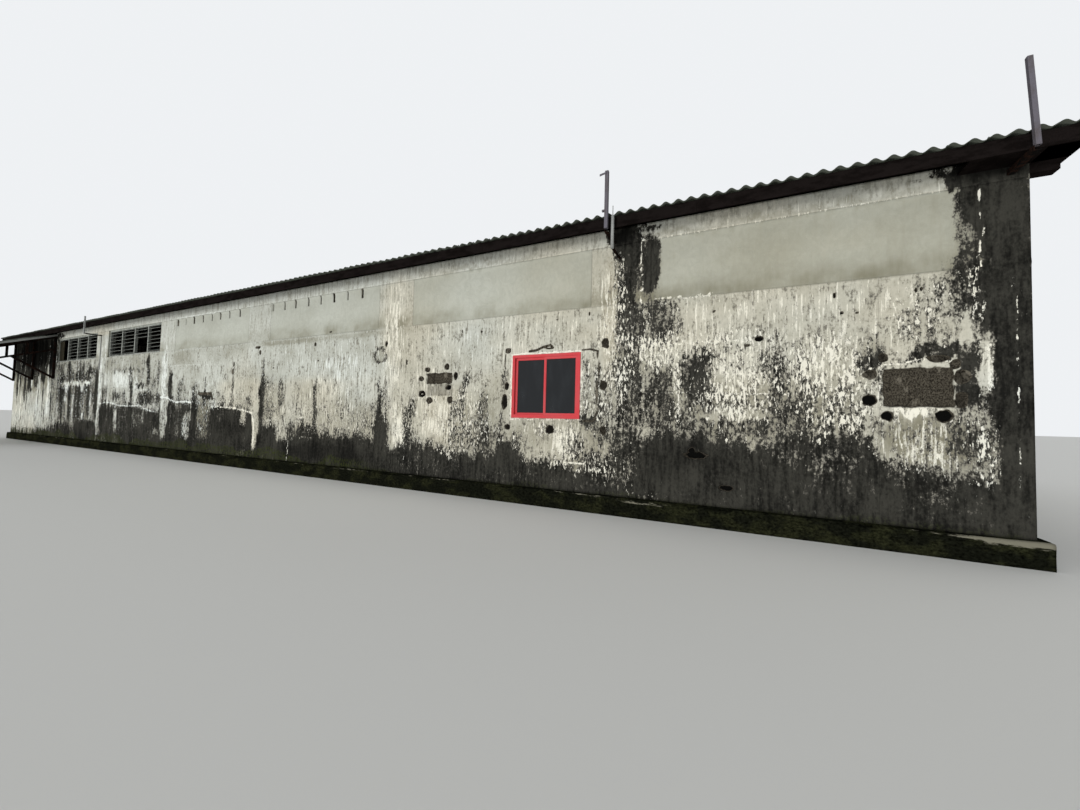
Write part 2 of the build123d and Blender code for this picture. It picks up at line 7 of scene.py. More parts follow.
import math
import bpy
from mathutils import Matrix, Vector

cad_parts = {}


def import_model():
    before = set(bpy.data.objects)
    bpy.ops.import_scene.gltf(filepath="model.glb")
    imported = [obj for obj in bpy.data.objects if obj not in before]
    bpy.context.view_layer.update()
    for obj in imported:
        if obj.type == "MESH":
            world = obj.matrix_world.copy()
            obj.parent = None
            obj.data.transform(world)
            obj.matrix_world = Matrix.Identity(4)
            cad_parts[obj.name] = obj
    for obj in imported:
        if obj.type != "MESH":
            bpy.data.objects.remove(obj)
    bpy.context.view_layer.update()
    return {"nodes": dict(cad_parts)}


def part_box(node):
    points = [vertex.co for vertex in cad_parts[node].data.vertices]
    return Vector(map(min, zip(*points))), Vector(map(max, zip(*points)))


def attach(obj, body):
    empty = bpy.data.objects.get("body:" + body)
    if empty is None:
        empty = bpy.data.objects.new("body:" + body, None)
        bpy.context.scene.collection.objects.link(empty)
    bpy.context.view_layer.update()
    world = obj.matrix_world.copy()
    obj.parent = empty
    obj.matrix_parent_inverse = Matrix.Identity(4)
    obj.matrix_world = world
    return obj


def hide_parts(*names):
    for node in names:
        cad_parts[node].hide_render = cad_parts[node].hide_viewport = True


bl_info = {
    "name": "Factory hall finishes",
    "version": (1, 0, 0),
    "blender": (4, 5, 0),
    "location": "3D View > Sidebar > Factory hall",
    "description": "Builds the rendered walls, roof sheets, windows and steelwork of a factory hall",
    "category": "Object",
}

import bmesh
import bpy
import numpy as np
from bpy.props import FloatProperty, FloatVectorProperty, IntProperty, PointerProperty
from mathutils import Matrix, Vector

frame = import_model()

# Lines of the building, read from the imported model
HALF_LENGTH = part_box("front_ring_beam")[1].x
HALF_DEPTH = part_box("rear_ring_beam")[1].y
PLINTH_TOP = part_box("front_plinth")[1].z
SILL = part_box("front_piers")[0].z
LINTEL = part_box("front_piers")[1].z
WALL_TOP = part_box("front_ring_beam")[1].z
BAYS = 7

# Each side: along the wall to the right seen from outside, and outward
SIDES = {
    "front": ((1, 0), (0, -1)),
    "rear": ((-1, 0), (0, 1)),
    "right": ((0, 1), (1, 0)),
    "left": ((0, -1), (-1, 0)),
}

# Upper edge of the black foot of the front wall, as (x, z) from left to right
BLACK_FOOT = (
    (-17.3, 0.45), (-14.0, 0.5), (-12.5, 0.55), (-12.0, 0.75), (-11.0, 0.85), (-10.0, 0.7),
    (-9.0, 0.9), (-8.2, 1.0), (-7.72, 0.8), (-7.62, 0.5), (-7.48, 0.5), (-7.42, 1.62), (-5.2, 1.6),
    (-4.2, 1.55), (-3.6, 1.42), (-2.8, 1.38), (-2.65, 0.7), (-2.35, 0.6), (-2.25, 1.78),
    (-1.0, 1.7), (0.3, 1.6), (1.2, 1.57), (1.9, 1.5), (2.33, 1.38), (2.42, 0.55), (2.55, 0.6),
    (2.72, 1.15), (3.3, 1.12), (3.42, 0.62), (3.9, 0.62), (4.05, 0.8), (4.2, 1.25), (4.9, 1.22),
    (5.1, 1.02), (6.0, 1.0), (7.0, 0.95), (7.3, 0.85), (7.55, 0.78), (8.0, 0.92), (8.6, 0.95),
    (9.0, 0.82), (10.0, 0.76), (10.4, 0.82), (10.8, 0.72), (11.6, 0.7), (12.2, 0.62), (12.6, 0.85),
    (13.0, 1.15), (13.3, 1.33), (14.1, 1.28), (14.4, 1.1), (15.0, 1.2), (15.3, 1.42), (15.7, 1.38),
    (15.95, 0.95), (16.5, 0.8), (16.9, 0.9), (17.3, 1.6),
)

# How much of the wall the black mould covers, painted stroke over stroke:
# x and z in metres, half width and half height in centimetres, percent covered (over 100 where it
# is thickest). High under the canopy the black is partly painted shade of the canopy
MOULD = (
    # Last bay on the right
    (14.8, 2.95, 170, 45, 7), (14.5, 2.05, 150, 65, 50), (14.2, 2.25, 40, 25, 22),
    (14.4, 1.5, 150, 18, 62), (14.2, 1.68, 50, 7, 14), (14.1, 1.87, 32, 8, 58),
    (13.7, 2.22, 22, 40, 86), (13.75, 1.78, 20, 12, 62), (13.15, 1.95, 24, 48, 72),
    (13.1, 2.62, 28, 20, 42), (13.42, 2.2, 6, 60, 25), (13.1, 3.1, 34, 33, 74),
    (12.95, 3.1, 5, 35, 35), (12.62, 3.2, 22, 50, 86), (12.65, 2.2, 28, 80, 78),
    (12.9, 2.3, 6, 50, 45), (12.63, 4.25, 26, 75, 97), (12.47, 3.85, 9, 50, 70),
    (13.0, 4.02, 15, 56, 120), (12.85, 4.68, 40, 7, 80), (12.5, 4.6, 20, 20, 150),
    (14.77, 2.05, 10, 42, 68), (15.05, 2.2, 12, 35, 55), (15.0, 1.75, 25, 20, 62),
    (15.45, 1.8, 20, 20, 60), (15.45, 2.4, 30, 30, 22), (15.8, 2.45, 12, 22, 55),
    (15.74, 2.05, 10, 30, 35), (16.45, 2.44, 30, 10, 90), (15.82, 2.42, 13, 12, 85),
    (16.75, 2.1, 12, 42, 90), (16.3, 2.75, 30, 20, 30), (16.45, 3.0, 25, 35, 38),
    (16.7, 3.25, 17, 40, 72), (16.28, 1.38, 34, 26, 30), (16.72, 1.3, 14, 40, 66),
    (16.35, 0.75, 60, 28, 88), (13.5, 0.85, 90, 42, 132), (14.9, 0.55, 120, 30, 106),
    (15.2, 1.2, 50, 20, 86), (12.6, 0.95, 30, 50, 82), (16.85, 3.1, 12, 50, 78),
    (16.93, 4.2, 26, 62, 120), (16.72, 4.62, 28, 13, 95), (16.42, 4.68, 20, 5, 60),
    (17.12, 2.5, 24, 260, 120), (17.0, 4.66, 35, 20, 150), (16.88, 2.3, 6, 30, 12),
    (16.9, 1.2, 12, 35, 70), (16.72, 3.75, 6, 30, 60),
    # Bay with the window
    (7.55, 1.4, 12, 60, 12), (7.3, 1.5, 12, 70, 45), (8.0, 1.45, 17, 45, 62),
    (7.95, 1.05, 15, 25, 76), (8.6, 1.35, 42, 35, 12), (9.35, 1.9, 12, 40, 50),
    (9.25, 1.4, 20, 35, 60), (9.45, 2.25, 8, 25, 60), (9.85, 1.65, 12, 42, 64),
    (9.6, 1.2, 35, 30, 50), (9.95, 1.1, 20, 30, 72), (10.25, 1.2, 12, 40, 50),
    (10.31, 2.3, 7, 35, 32), (10.6, 1.15, 15, 20, 50), (11.2, 1.15, 45, 24, 18),
    (11.75, 1.1, 15, 30, 52), (11.5, 0.84, 40, 8, 35), (12.05, 1.5, 25, 9, 80),
    (12.25, 1.4, 20, 50, 55), (12.36, 2.0, 12, 60, 45), (11.99, 2.1, 13, 55, 40),
    (11.99, 1.56, 12, 6, 90), (12.14, 2.0, 5, 50, 66), (12.3, 3.4, 12, 90, 10),
    (10.4, 0.83, 20, 18, 115), (12.1, 0.75, 35, 25, 72), (8.4, 0.6, 120, 25, 95),
    (11.0, 0.45, 120, 20, 100),
    # Fifth bay
    (4.9, 2.7, 220, 60, 2), (3.05, 2.1, 20, 40, 40), (3.1, 1.95, 10, 15, 15),
    (3.1, 1.5, 25, 35, 50), (2.75, 1.9, 12, 80, 95), (3.58, 2.0, 12, 45, 55),
    (3.6, 1.2, 30, 40, 30), (4.26, 1.7, 7, 50, 42), (4.55, 1.12, 35, 16, 90),
    (4.65, 0.93, 25, 2, 45), (4.93, 2.1, 8, 25, 60), (4.93, 1.5, 8, 50, 85), (6.1, 1.5, 90, 35, 30),
    (5.6, 2.0, 50, 35, 18), (6.35, 2.0, 30, 30, 10), (7.08, 2.15, 7, 25, 50),
    (7.1, 1.6, 11, 40, 88), (7.15, 1.1, 20, 40, 105), (6.8, 1.3, 15, 20, 45),
    (4.05, 1.05, 15, 30, 75), (3.66, 0.78, 20, 12, 25), (3.05, 0.85, 35, 30, 125),
    (5.2, 0.6, 190, 28, 140),
    # Fourth bay
    (0.1, 2.75, 220, 60, 3), (-2.2, 2.35, 13, 45, 95), (-1.5, 2.25, 25, 18, 55),
    (-1.6, 2.05, 8, 10, 60), (-0.7, 2.1, 16, 30, 58), (-0.1, 2.3, 5, 20, 50),
    (0.65, 1.9, 35, 22, 42), (0.95, 2.3, 5, 30, 40), (1.36, 2.2, 6, 50, 66), (1.3, 2.68, 9, 8, 50),
    (2.15, 1.78, 18, 12, 62), (-2.5, 2.1, 12, 20, 30), (-2.5, 1.2, 16, 75, 34),
    (-2.8, 1.2, 6, 60, 90), (-2.05, 1.3, 22, 60, 95), (-1.6, 1.2, 20, 60, 80),
    (-1.1, 1.05, 22, 45, 48), (-0.86, 1.4, 3, 35, 30), (-0.65, 1.3, 16, 60, 110),
    (-0.09, 1.35, 36, 62, 50), (-0.3, 1.6, 12, 30, 42), (-0.08, 2.0, 38, 7, 115),
    (-0.12, 1.85, 6, 15, 90), (1.2, 1.0, 85, 60, 115), (0.8, 1.4, 15, 20, 90),
    (1.95, 1.4, 17, 20, 30), (2.2, 1.1, 15, 40, 110), (2.46, 1.0, 5, 50, 25),
    (-1.0, 0.5, 140, 16, 110),
    # Third bay
    (-5.0, 2.9, 220, 60, 20), (-6.8, 3.25, 40, 12, 34), (-5.2, 2.9, 130, 5, 50),
    (-5.9, 2.6, 70, 20, 4), (-7.1, 2.05, 13, 28, 72), (-6.85, 2.15, 6, 20, 50),
    (-6.1, 2.0, 42, 16, 80), (-5.45, 2.0, 15, 16, 65), (-5.3, 1.78, 20, 7, 70),
    (-5.05, 2.7, 9, 30, 75), (-4.9, 2.1, 11, 45, 88), (-4.25, 2.38, 30, 8, 80),
    (-4.3, 2.65, 16, 12, 50), (-3.75, 3.15, 12, 20, 92), (-3.68, 2.65, 12, 40, 78),
    (-3.8, 1.95, 60, 22, 88), (-3.3, 2.4, 20, 20, 50), (-3.0, 2.6, 8, 60, 60),
    (-2.95, 1.85, 22, 20, 72), (-4.6, 1.95, 15, 20, 25), (-7.5, 1.1, 12, 60, 20),
    (-6.85, 1.15, 55, 50, 110), (-6.07, 1.15, 14, 38, 36), (-5.4, 1.2, 40, 40, 86),
    (-4.9, 1.2, 10, 50, 115), (-4.4, 1.2, 40, 35, 78), (-3.95, 1.2, 10, 20, 50),
    (-3.4, 1.1, 40, 40, 98), (-3.0, 0.8, 25, 12, 62), (-5.2, 0.55, 230, 15, 100),
    # Second bay
    (-10.0, 2.2, 220, 120, 77), (-9.9, 2.5, 160, 10, 12), (-11.4, 3.15, 28, 20, 60),
    (-10.95, 3.1, 12, 25, 20), (-10.55, 3.1, 20, 30, 85), (-9.85, 3.15, 40, 20, 34),
    (-9.9, 2.75, 80, 14, 82), (-9.12, 3.0, 9, 35, 90), (-8.75, 3.2, 20, 20, 20),
    (-8.42, 2.9, 27, 28, 90), (-8.4, 2.8, 5, 6, 20), (-8.1, 2.6, 14, 25, 25),
    (-11.1, 2.1, 27, 22, 95), (-10.38, 2.0, 16, 35, 88), (-9.6, 2.05, 50, 30, 85),
    (-8.48, 1.9, 14, 60, 90), (-7.8, 2.1, 14, 95, 115), (-11.12, 1.4, 10, 70, 90),
    (-9.8, 1.4, 14, 45, 88), (-10.3, 1.4, 14, 30, 80), (-9.3, 1.5, 14, 40, 80),
    (-8.85, 1.7, 12, 40, 42), (-8.1, 1.4, 12, 30, 25), (-9.0, 1.12, 7, 12, 20),
    (-10.6, 1.5, 10, 40, 30), (-10.05, 1.7, 7, 40, 30), (-11.6, 1.4, 20, 30, 40),
    (-12.1, 2.2, 30, 120, 42), (-12.42, 2.0, 4, 120, 60), (-12.22, 2.2, 3, 100, 50),
    (-8.6, 0.75, 100, 28, 110), (-10.7, 0.6, 120, 20, 95), (-7.55, 2.0, 8, 130, 15),
    # Under the canopy: mould, and high up painted shade of the canopy
    (-14.9, 1.7, 240, 110, 10), (-14.8, 4.0, 275, 95, 170), (-12.5, 3.75, 40, 80, 160),
    (-16.8, 2.75, 15, 75, 85), (-16.4, 2.8, 12, 35, 80), (-15.75, 2.65, 17, 75, 90),
    (-15.15, 2.7, 22, 38, 120), (-14.9, 2.36, 14, 7, 95), (-14.35, 2.75, 26, 42, 90),
    (-13.45, 2.95, 30, 30, 130), (-13.37, 2.0, 6, 85, 62), (-13.9, 2.2, 5, 60, 45),
    (-15.4, 2.0, 5, 60, 45), (-12.36, 2.0, 7, 110, 80), (-14.15, 1.1, 9, 35, 45),
    (-13.1, 1.1, 9, 40, 45), (-16.1, 0.95, 10, 15, 40), (-14.83, 2.75, 7, 22, 10),
    (-12.85, 2.8, 10, 50, 15), (-12.0, 4.6, 75, 12, 130),
)

# Share of the wall under crisp flecks of old limewash, painted in the same way
FLECKS = (
    (13.1, 2.7, 35, 25, 50), (13.42, 2.2, 6, 55, 36), (14.2, 2.0, 50, 40, 42),
    (14.0, 2.75, 70, 15, 32), (15.3, 2.3, 45, 40, 45), (15.5, 1.8, 40, 35, 40),
    (16.2, 3.0, 25, 30, 28), (16.85, 3.2, 12, 35, 40), (16.85, 1.3, 15, 35, 40),
    (16.3, 1.35, 40, 30, 8), (12.5, 3.75, 16, 60, 50), (12.45, 2.5, 30, 100, 36),
    (12.75, 1.1, 40, 70, 8), (9.6, 1.6, 50, 60, 28), (9.1, 0.82, 40, 8, 40), (8.4, 1.5, 60, 50, 22),
    (11.8, 0.75, 70, 25, 28), (12.1, 2.1, 25, 50, 30), (11.1, 1.3, 50, 15, 25),
    (7.5, 1.6, 25, 80, 20), (3.1, 1.9, 30, 40, 22), (5.2, 1.4, 180, 40, 16), (2.46, 1.0, 5, 50, 50),
    (-1.2, 1.0, 15, 30, 30), (0.5, 1.8, 180, 20, 25), (-5.0, 2.3, 220, 60, 16),
    (-9.9, 2.2, 220, 90, 20), (14.0, 0.9, 80, 30, 2), (12.9, 0.5, 50, 15, 20),
    (-14.9, 1.8, 230, 100, 10),
)

# Share of the wall under thin white runs
RUNS = (
    (14.6, 3.0, 190, 40, 20), (14.5, 2.6, 160, 20, 26), (16.3, 1.3, 40, 40, 12),
    (9.8, 3.0, 240, 45, 14), (8.5, 1.6, 80, 50, 20), (12.3, 3.4, 16, 90, 30),
    (7.5, 3.5, 30, 120, 30), (4.9, 3.0, 230, 40, 12), (5.0, 1.6, 220, 60, 20),
    (0.0, 2.0, 240, 50, 14), (-1.0, 1.1, 150, 40, 12), (-5.0, 1.2, 230, 40, 22),
    (-10.0, 1.6, 230, 60, 16), (-14.9, 2.0, 230, 140, 20), (2.5, 4.0, 40, 50, 14),
    (11.6, 1.15, 30, 28, 60), (9.0, 1.55, 60, 45, 45), (7.7, 1.2, 20, 40, 60),
    (16.25, 1.7, 22, 6, 90), (14.6, 2.45, 100, 25, 40), (15.2, 1.2, 100, 30, 10),
    (12.6, 1.2, 40, 60, 16), (-5.7, 2.6, 80, 30, 60), (-9.9, 2.48, 160, 12, 42),
    (-2.6, 2.6, 20, 100, 60), (-10.75, 2.3, 20, 20, 80), (-9.2, 2.3, 30, 12, 75),
    (-8.65, 2.5, 25, 10, 80), (-10.8, 1.85, 15, 15, 70), (-9.0, 1.15, 10, 15, 70),
    (-6.9, 2.6, 30, 30, 40), (-7.5, 2.4, 15, 140, 60), (-4.6, 2.2, 20, 50, 50),
    (7.4, 2.6, 25, 120, 40), (5.6, 2.4, 80, 50, 35), (8.5, 2.0, 50, 50, 30),
    (-12.1, 3.7, 20, 40, 60), (16.3, 1.25, 35, 30, 45), (-14.9, 1.4, 240, 70, 40),
    (-14.83, 2.75, 7, 25, 90), (-13.8, 2.5, 7, 40, 80), (-12.75, 2.0, 12, 90, 85),
    (-16.55, 2.4, 6, 50, 60),
)

# Grey and olive stains in the render
STAINS = (
    (-0.09, 1.35, 36, 64, 95), (-6.75, 3.05, 36, 26, 70), (-1.5, 3.2, 50, 25, 55),
    (1.2, 3.25, 60, 20, 40), (0.3, 3.2, 40, 20, 35), (-14.9, 2.7, 240, 50, 85),
    (-10.0, 2.0, 220, 130, 50), (-5.0, 2.8, 220, 50, 35), (16.3, 1.35, 40, 30, 90),
    (14.3, 1.7, 140, 40, 35), (9.9, 1.5, 80, 60, 40), (6.3, 1.5, 100, 50, 35),
    (3.3, 1.9, 60, 70, 35), (11.6, 1.2, 70, 40, 40), (14.8, 4.52, 220, 7, 38),
    (9.8, 4.52, 200, 6, 28),
)

# White or bare lines, as points along them, half width and strength
LIME_LINES = (
    (((12.86, 4.5), (12.83, 4.1), (12.86, 3.8), (12.85, 3.42)), 0.012, 1.0),
    (((16.86, 4.45), (16.83, 4.2), (16.87, 3.9), (16.83, 3.6), (16.86, 3.4)), 0.01, 0.9),
    (((16.93, 2.5), (16.91, 2.0)), 0.035, 0.6),
    (((15.885, 2.4), (15.89, 2.2), (15.88, 1.85)), 0.012, 0.7),
    # Along the lip under the walled-up window: a painted highlight of the lip
    (((13.05, 3.49), (13.4, 3.47), (13.9, 3.46)), 0.014, 0.7),
    (((12.95, 4.47), (13.6, 4.455), (14.4, 4.47), (15.6, 4.455), (16.6, 4.45)), 0.007, 0.35),
    (((12.9, 1.98), (13.8, 1.97), (14.9, 1.95)), 0.01, 0.55),
    (((13.0, 2.73), (14.0, 2.75), (14.4, 2.72)), 0.012, 0.6),
    (((15.92, 2.31), (16.1, 2.33), (16.36, 2.39), (16.5, 2.36), (16.6, 2.33)), 0.012, 0.75),
    (((17.13, 3.3), (17.15, 2.6), (17.14, 2.0), (17.16, 1.4), (17.15, 0.8)), 0.01, 0.62),
    (((17.17, 2.95), (17.17, 2.65)), 0.005, 0.7),
    (((10.472, 1.525), (10.472, 2.712), (11.848, 2.712), (11.848, 1.525), (10.472, 1.525)),
     0.011, 0.95),
    (((7.55, 4.0), (7.54, 3.6), (7.56, 3.2)), 0.028, 0.8),
    (((7.87, 0.95), (7.9, 0.8), (7.88, 0.6)), 0.012, 0.9),
    (((11.25, 0.8), (11.6, 0.79), (11.95, 0.78)), 0.012, 0.8),
    (((3.96, 0.82), (3.94, 0.3)), 0.018, 0.8),
    (((-2.8, 1.95), (-2.3, 1.93), (-2.1, 1.84), (-1.7, 1.79), (-1.2, 1.8), (-0.86, 1.78)),
     0.026, 0.95),
    (((0.3, 1.67), (0.8, 1.66), (1.4, 1.64), (1.9, 1.58), (2.35, 1.5), (2.42, 1.3)), 0.022, 0.9),
    (((2.42, 1.4), (2.46, 1.1), (2.44, 0.8), (2.48, 0.55)), 0.022, 0.75),
    (((-7.45, 1.7), (-6.9, 1.77), (-6.4, 1.74), (-5.8, 1.65), (-5.0, 1.64), (-4.2, 1.67)),
     0.024, 0.85),
    (((-4.2, 1.66), (-3.85, 1.56), (-3.5, 1.51), (-3.05, 1.46)), 0.022, 0.8),
    (((-4.4, 2.2), (-4.1, 2.19), (-3.9, 2.2), (-3.5, 2.22)), 0.022, 0.55),
    (((4.45, 0.93), (4.85, 0.93)), 0.014, 0.6),
    (((-2.4, 2.95), (-1.6, 2.96), (-0.6, 2.94), (0.0, 2.9)), 0.012, 0.4),
    (((-2.0, 4.48), (-0.8, 4.48), (0.6, 4.47)), 0.016, 0.6),
    (((-1.8, 3.45), (-0.4, 3.44)), 0.014, 0.5),
)

# Cracks, as points along them, half width and depth
CRACKS = (
    (((10.84, 2.76), (10.98, 2.77), (11.1, 2.82), (11.25, 2.85), (11.3, 2.8)), 0.016, 0.014),
    (((11.12, 2.82), (11.2, 2.79), (11.3, 2.79)), 0.01, 0.012),
    (((11.86, 2.73), (12.0, 2.735), (12.13, 2.7), (12.16, 2.4), (12.13, 2.0)), 0.01, 0.012),
    (((12.13, 2.0), (12.15, 1.7), (12.08, 1.5), (11.9, 1.52)), 0.01, 0.012),
    (((10.33, 2.72), (10.32, 2.5), (10.34, 2.45)), 0.008, 0.01),
    (((14.35, 2.66), (14.45, 2.68)), 0.01, 0.012),
    (((-0.45, 2.05), (0.25, 2.05), (0.32, 1.9)), 0.03, 0.008),
)

# Holes knocked in the render: x and z in metres, half width, half height and depth in centimetres,
# percent of darkness, whose top end is painted shade inside the hole
HOLES = (
    (8.45, 2.5, 7, 5, 3.5, 80), (8.95, 2.54, 6, 6.5, 3.5, 85), (8.29, 2.31, 6.5, 5.5, 3.5, 80),
    (9.18, 2.35, 5.5, 8, 3.5, 90), (8.32, 1.99, 8.5, 6.5, 4, 95), (9.0, 2.12, 7, 5, 6, 100),
    (8.52, 1.86, 9, 7, 3, 70), (9.05, 1.87, 6.5, 7, 3, 80), (10.38, 2.79, 6, 5.5, 3, 80),
    (10.37, 2.13, 4.5, 7.5, 3.5, 90), (10.33, 1.83, 6.5, 13, 3.5, 90), (10.41, 1.36, 5.5, 5, 4, 90),
    (11.27, 1.34, 7, 8, 3.5, 90), (12.25, 1.36, 5, 7, 3, 85), (12.24, 2.12, 6, 8, 3.5, 85),
    (12.26, 2.82, 6.5, 8, 3.5, 85), (9.31, 3.24, 1.4, 3, 2, 80), (9.77, 3.2, 2, 2.4, 2, 85),
    (11.37, 3.3, 1.4, 2, 1.5, 70), (11.97, 3.35, 1.6, 3.5, 2, 80), (7.87, 2.68, 2.2, 5.5, 2, 90),
    (7.25, 3.11, 4, 6, 3, 95), (14.53, 2.75, 5.5, 3.5, 5, 100), (15.42, 3.28, 1.8, 3.5, 2, 90),
    (16.26, 3.25, 1.2, 3, 2, 90), (16.31, 3.26, 1.2, 2.5, 2, 90), (15.5, 3.03, 2.2, 1.8, 2, 90),
    (15.66, 3.02, 1.2, 1.4, 1.5, 70), (13.93, 3.21, 1.4, 1.4, 1.5, 80), (13.7, 1.03, 15, 6, 6, 100),
    (13.64, 1.1, 5, 5, 5, 100), (14.12, 0.58, 10, 4.5, 5, 95), (15.8, 2.2, 7.5, 6.5, 3, 85),
    (15.79, 1.87, 7.5, 7.5, 3.5, 95), (15.97, 1.67, 6.5, 6, 4, 100), (16.51, 1.68, 8, 7.5, 3.5, 95),
    (16.68, 2.15, 7.5, 8.5, 3, 85), (16.67, 1.87, 6, 10, 3, 85), (15.93, 2.41, 5, 6, 3, 85),
    (16.47, 2.38, 11, 4.5, 3, 85), (16.62, 2.3, 5, 6, 2.5, 80), (4.85, 3.24, 4.5, 4.5, 3, 85),
    (5.38, 3.52, 4, 3, 3, 85), (2.47, 3.3, 13, 3.5, 3, 85), (2.58, 3.15, 5, 6, 3, 85),
    (1.31, 2.66, 6, 7, 2, 75), (1.36, 2.88, 4, 6, 2, 75), (7.27, 3.35, 1.2, 3, 1.5, 60),
    (4.98, 2.83, 3, 2, 2, 70), (3.2, 2.71, 4, 1.2, 2, 60), (4.4, 2.69, 6, 1, 2, 60),
)

# Squares hacked into the render: left, right, foot, head, depth, darkness
HACKED = (
    (8.44, 9.1, 2.2, 2.42, 0.036, 0.62), (8.45, 9.12, 1.95, 2.2, 0.016, 0.27),
    (15.93, 16.6, 1.79, 2.27, 0.036, 0.66),
)

# Pale bars and lumps left standing in the hacked squares: x, z, half width, half height
LEFT_STANDING = (
    (8.6, 2.3, 0.025, 0.14), (9.08, 2.31, 0.022, 0.13), (8.32, 1.99, 0.03, 0.02),
    (16.24, 1.715, 0.19, 0.035), (13.68, 0.955, 0.05, 0.03), (13.8, 0.94, 0.05, 0.035),
)

# Narrow slots under the ring beam: x, half width, share of the full depth and darkness, whose top
# end is painted shade inside the slot
SLOT_XS = (
    (3.05, 0.03, 0.3), (3.54, 0.018, 1.0), (3.99, 0.025, 1.0), (4.5, 0.022, 0.9),
    (4.97, 0.018, 1.0), (5.45, 0.034, 1.0), (5.93, 0.016, 0.9), (6.42, 0.03, 1.0),
    (-1.93, 0.04, 0.5), (-1.46, 0.02, 0.35), (-0.97, 0.045, 0.6), (-0.45, 0.025, 0.9),
    (0.05, 0.022, 0.6), (0.5, 0.035, 0.5), (0.98, 0.022, 0.9), (1.5, 0.026, 1.0),
)
SLOT_FOOT, SLOT_HEAD, SLOT_DEPTH = 4.24, 4.455, 0.05

# Filled hole: x, z, radius
ROUND_PATCH = (7.07, 2.862, 0.195)

# Depth from which a hacked square shows the blockwork
BLOCKS_SHOW = 0.03

# Points across one corrugation of a roof sheet, and metres from one line of bolts to the next
POINTS_A_WAVE = 10
BOLTS_APART = 1.05

# Start of the noise of the walls that carry no marks of their own
REAR_SEED, RIGHT_SEED, LEFT_SEED, PLINTH_SEED = 500, 600, 700, 800

X, Y, Z = (1, 0, 0), (0, 1, 0), (0, 0, 1)


def linear(hex_value):
    """Turns an sRGB hex colour into linear red, green and blue."""
    shares = [int(hex_value[i : i + 2], 16) / 255 for i in (0, 2, 4)]
    return tuple(c / 12.92 if c <= 0.04045 else ((c + 0.055) / 1.055) ** 2.4 for c in shares)


def length(name, metres, note):
    return FloatProperty(name=name, description=note, default=metres, min=0.0, unit="LENGTH")


def colour(name, hex_value, note):
    return FloatVectorProperty(
        name=name, description=note, subtype="COLOR", size=3, min=0, max=1, default=linear(hex_value)
    )


class WallSizes(bpy.types.PropertyGroup):
    mesh_step: length("Mesh step", 0.032, "Spacing of the wall surface where it is plain")
    fine_step: length("Fine mesh step", 0.0095, "Spacing of the wall surface at its damage")
    far_step: length("Far mesh step", 0.07, "Spacing of the surface of the other walls")
    trowel_wave: length("Trowel waviness", 0.004, "Height of the render's uneven surface")
    sill_lip: length("Sill lip", 0.009, "How far the lip under the walled-up windows stands out")
    block_long: length("Block length", 0.40, "Length of the blocks behind the render")
    block_tall: length("Block height", 0.20, "Height of the blocks behind the render")
    joint: length("Mortar joint", 0.012, "Width of the joints between blocks")


class RoofSizes(bpy.types.PropertyGroup):
    wave: length("Wave", 0.177, "Width of one corrugation")
    wave_depth: length("Wave depth", 0.051, "Depth of the corrugation, outside to outside")
    thick: length("Sheet thickness", 0.006, "Thickness of a sheet")
    lap: length("End lap", 0.15, "How far one sheet lies over the next")
    bolt: length("Bolt head", 0.012, "Radius of a bolt's washer")
    rows: IntProperty(name="Rows", description="Rows of sheets up a slope", default=4, min=1)
    waves_a_sheet: IntProperty(name="Waves", description="Waves in a sheet", default=5, min=1)


class FinishColours(bpy.types.PropertyGroup):
    render_cool: colour("Render, cool", "B4B5AA", "Clean limewashed render in its cool patches")
    render_warm: colour("Render, warm", "ADA48E", "Render with its limewash worn off")
    infill: colour("Infill", "BCBEB3", "Smooth render of the walled-up windows")
    mould: colour("Mould", "121211", "Black mould on the render")
    limewash: colour("Limewash", "EAE6D6", "Flakes and runs of old limewash")
    block: colour("Blockwork", "544F45", "Bare blocks in the hacked squares")
    moss: colour("Moss", "343A1A", "Moss at the foot of the walls")
    sheet: colour("Roof sheet", "464A44", "Weathered fibre cement")
    # Near-black: faded maroon paint darkened as painted shade of the eave, on all the boards there
    board: colour("Fascia board", "1B1716", "Faded maroon paint on the fascia")
    steel: colour("Primed steel", "161514", "Old primer on the steelwork")
    post: colour("Post", "66636A", "Weathered grey-brown paint on the posts")
    galvanised: colour("Galvanised", "9C9D99", "Dull zinc")
    red: colour("Window red", "C93F44", "Powder coat on the window")
    # Near-black: a tint, and painted shade of the unlit hall behind the opaque glass
    glass: colour("Glass", "0B0E11", "Dark glass")
    louvre: colour("Louvre", "A3A69F", "Weathered grey paint on the louvres")
    # The blades' dark colour is dirt, and painted shade under and between them
    blade: colour("Louvre blade", "30322F", "Dirt on the underside of the blades")
    door: colour("Door", "5A666B", "Faded blue-grey paint on the doors")


# Noise and marks on the walls
def lattice(u, v, seed):
    """Smooth noise from 0 to 1 with one wave a unit; the same seed always gives the same noise."""
    left, low = np.floor(u).astype(np.int64), np.floor(v).astype(np.int64)
    part_u, part_v = u - left, v - low
    part_u = part_u * part_u * (3 - 2 * part_u)
    part_v = part_v * part_v * (3 - 2 * part_v)

    def corner(i, j):
        mixed = (left + i) * 374761393 + (low + j) * 668265263 + seed * 362437
        mixed = (mixed ^ (mixed >> 13)) * 1274126177
        return ((mixed ^ (mixed >> 16)) & 65535) / 65535.0

    foot = corner(0, 0) * (1 - part_u) + corner(1, 0) * part_u
    head = corner(0, 1) * (1 - part_u) + corner(1, 1) * part_u
    return foot * (1 - part_v) + head * part_v


def cloud(u, v, wide, tall, seed, octaves=4):
    """Layered noise from 0 to 1 whose largest patches are wide by tall."""
    total, weight = 0.0, 0.0
    for octave in range(octaves):
        share = 0.55**octave
        scale = 2.0**octave
        total = total + share * lattice(u * scale / wide, v * scale / tall, seed + octave)
        weight += share
    return total / weight


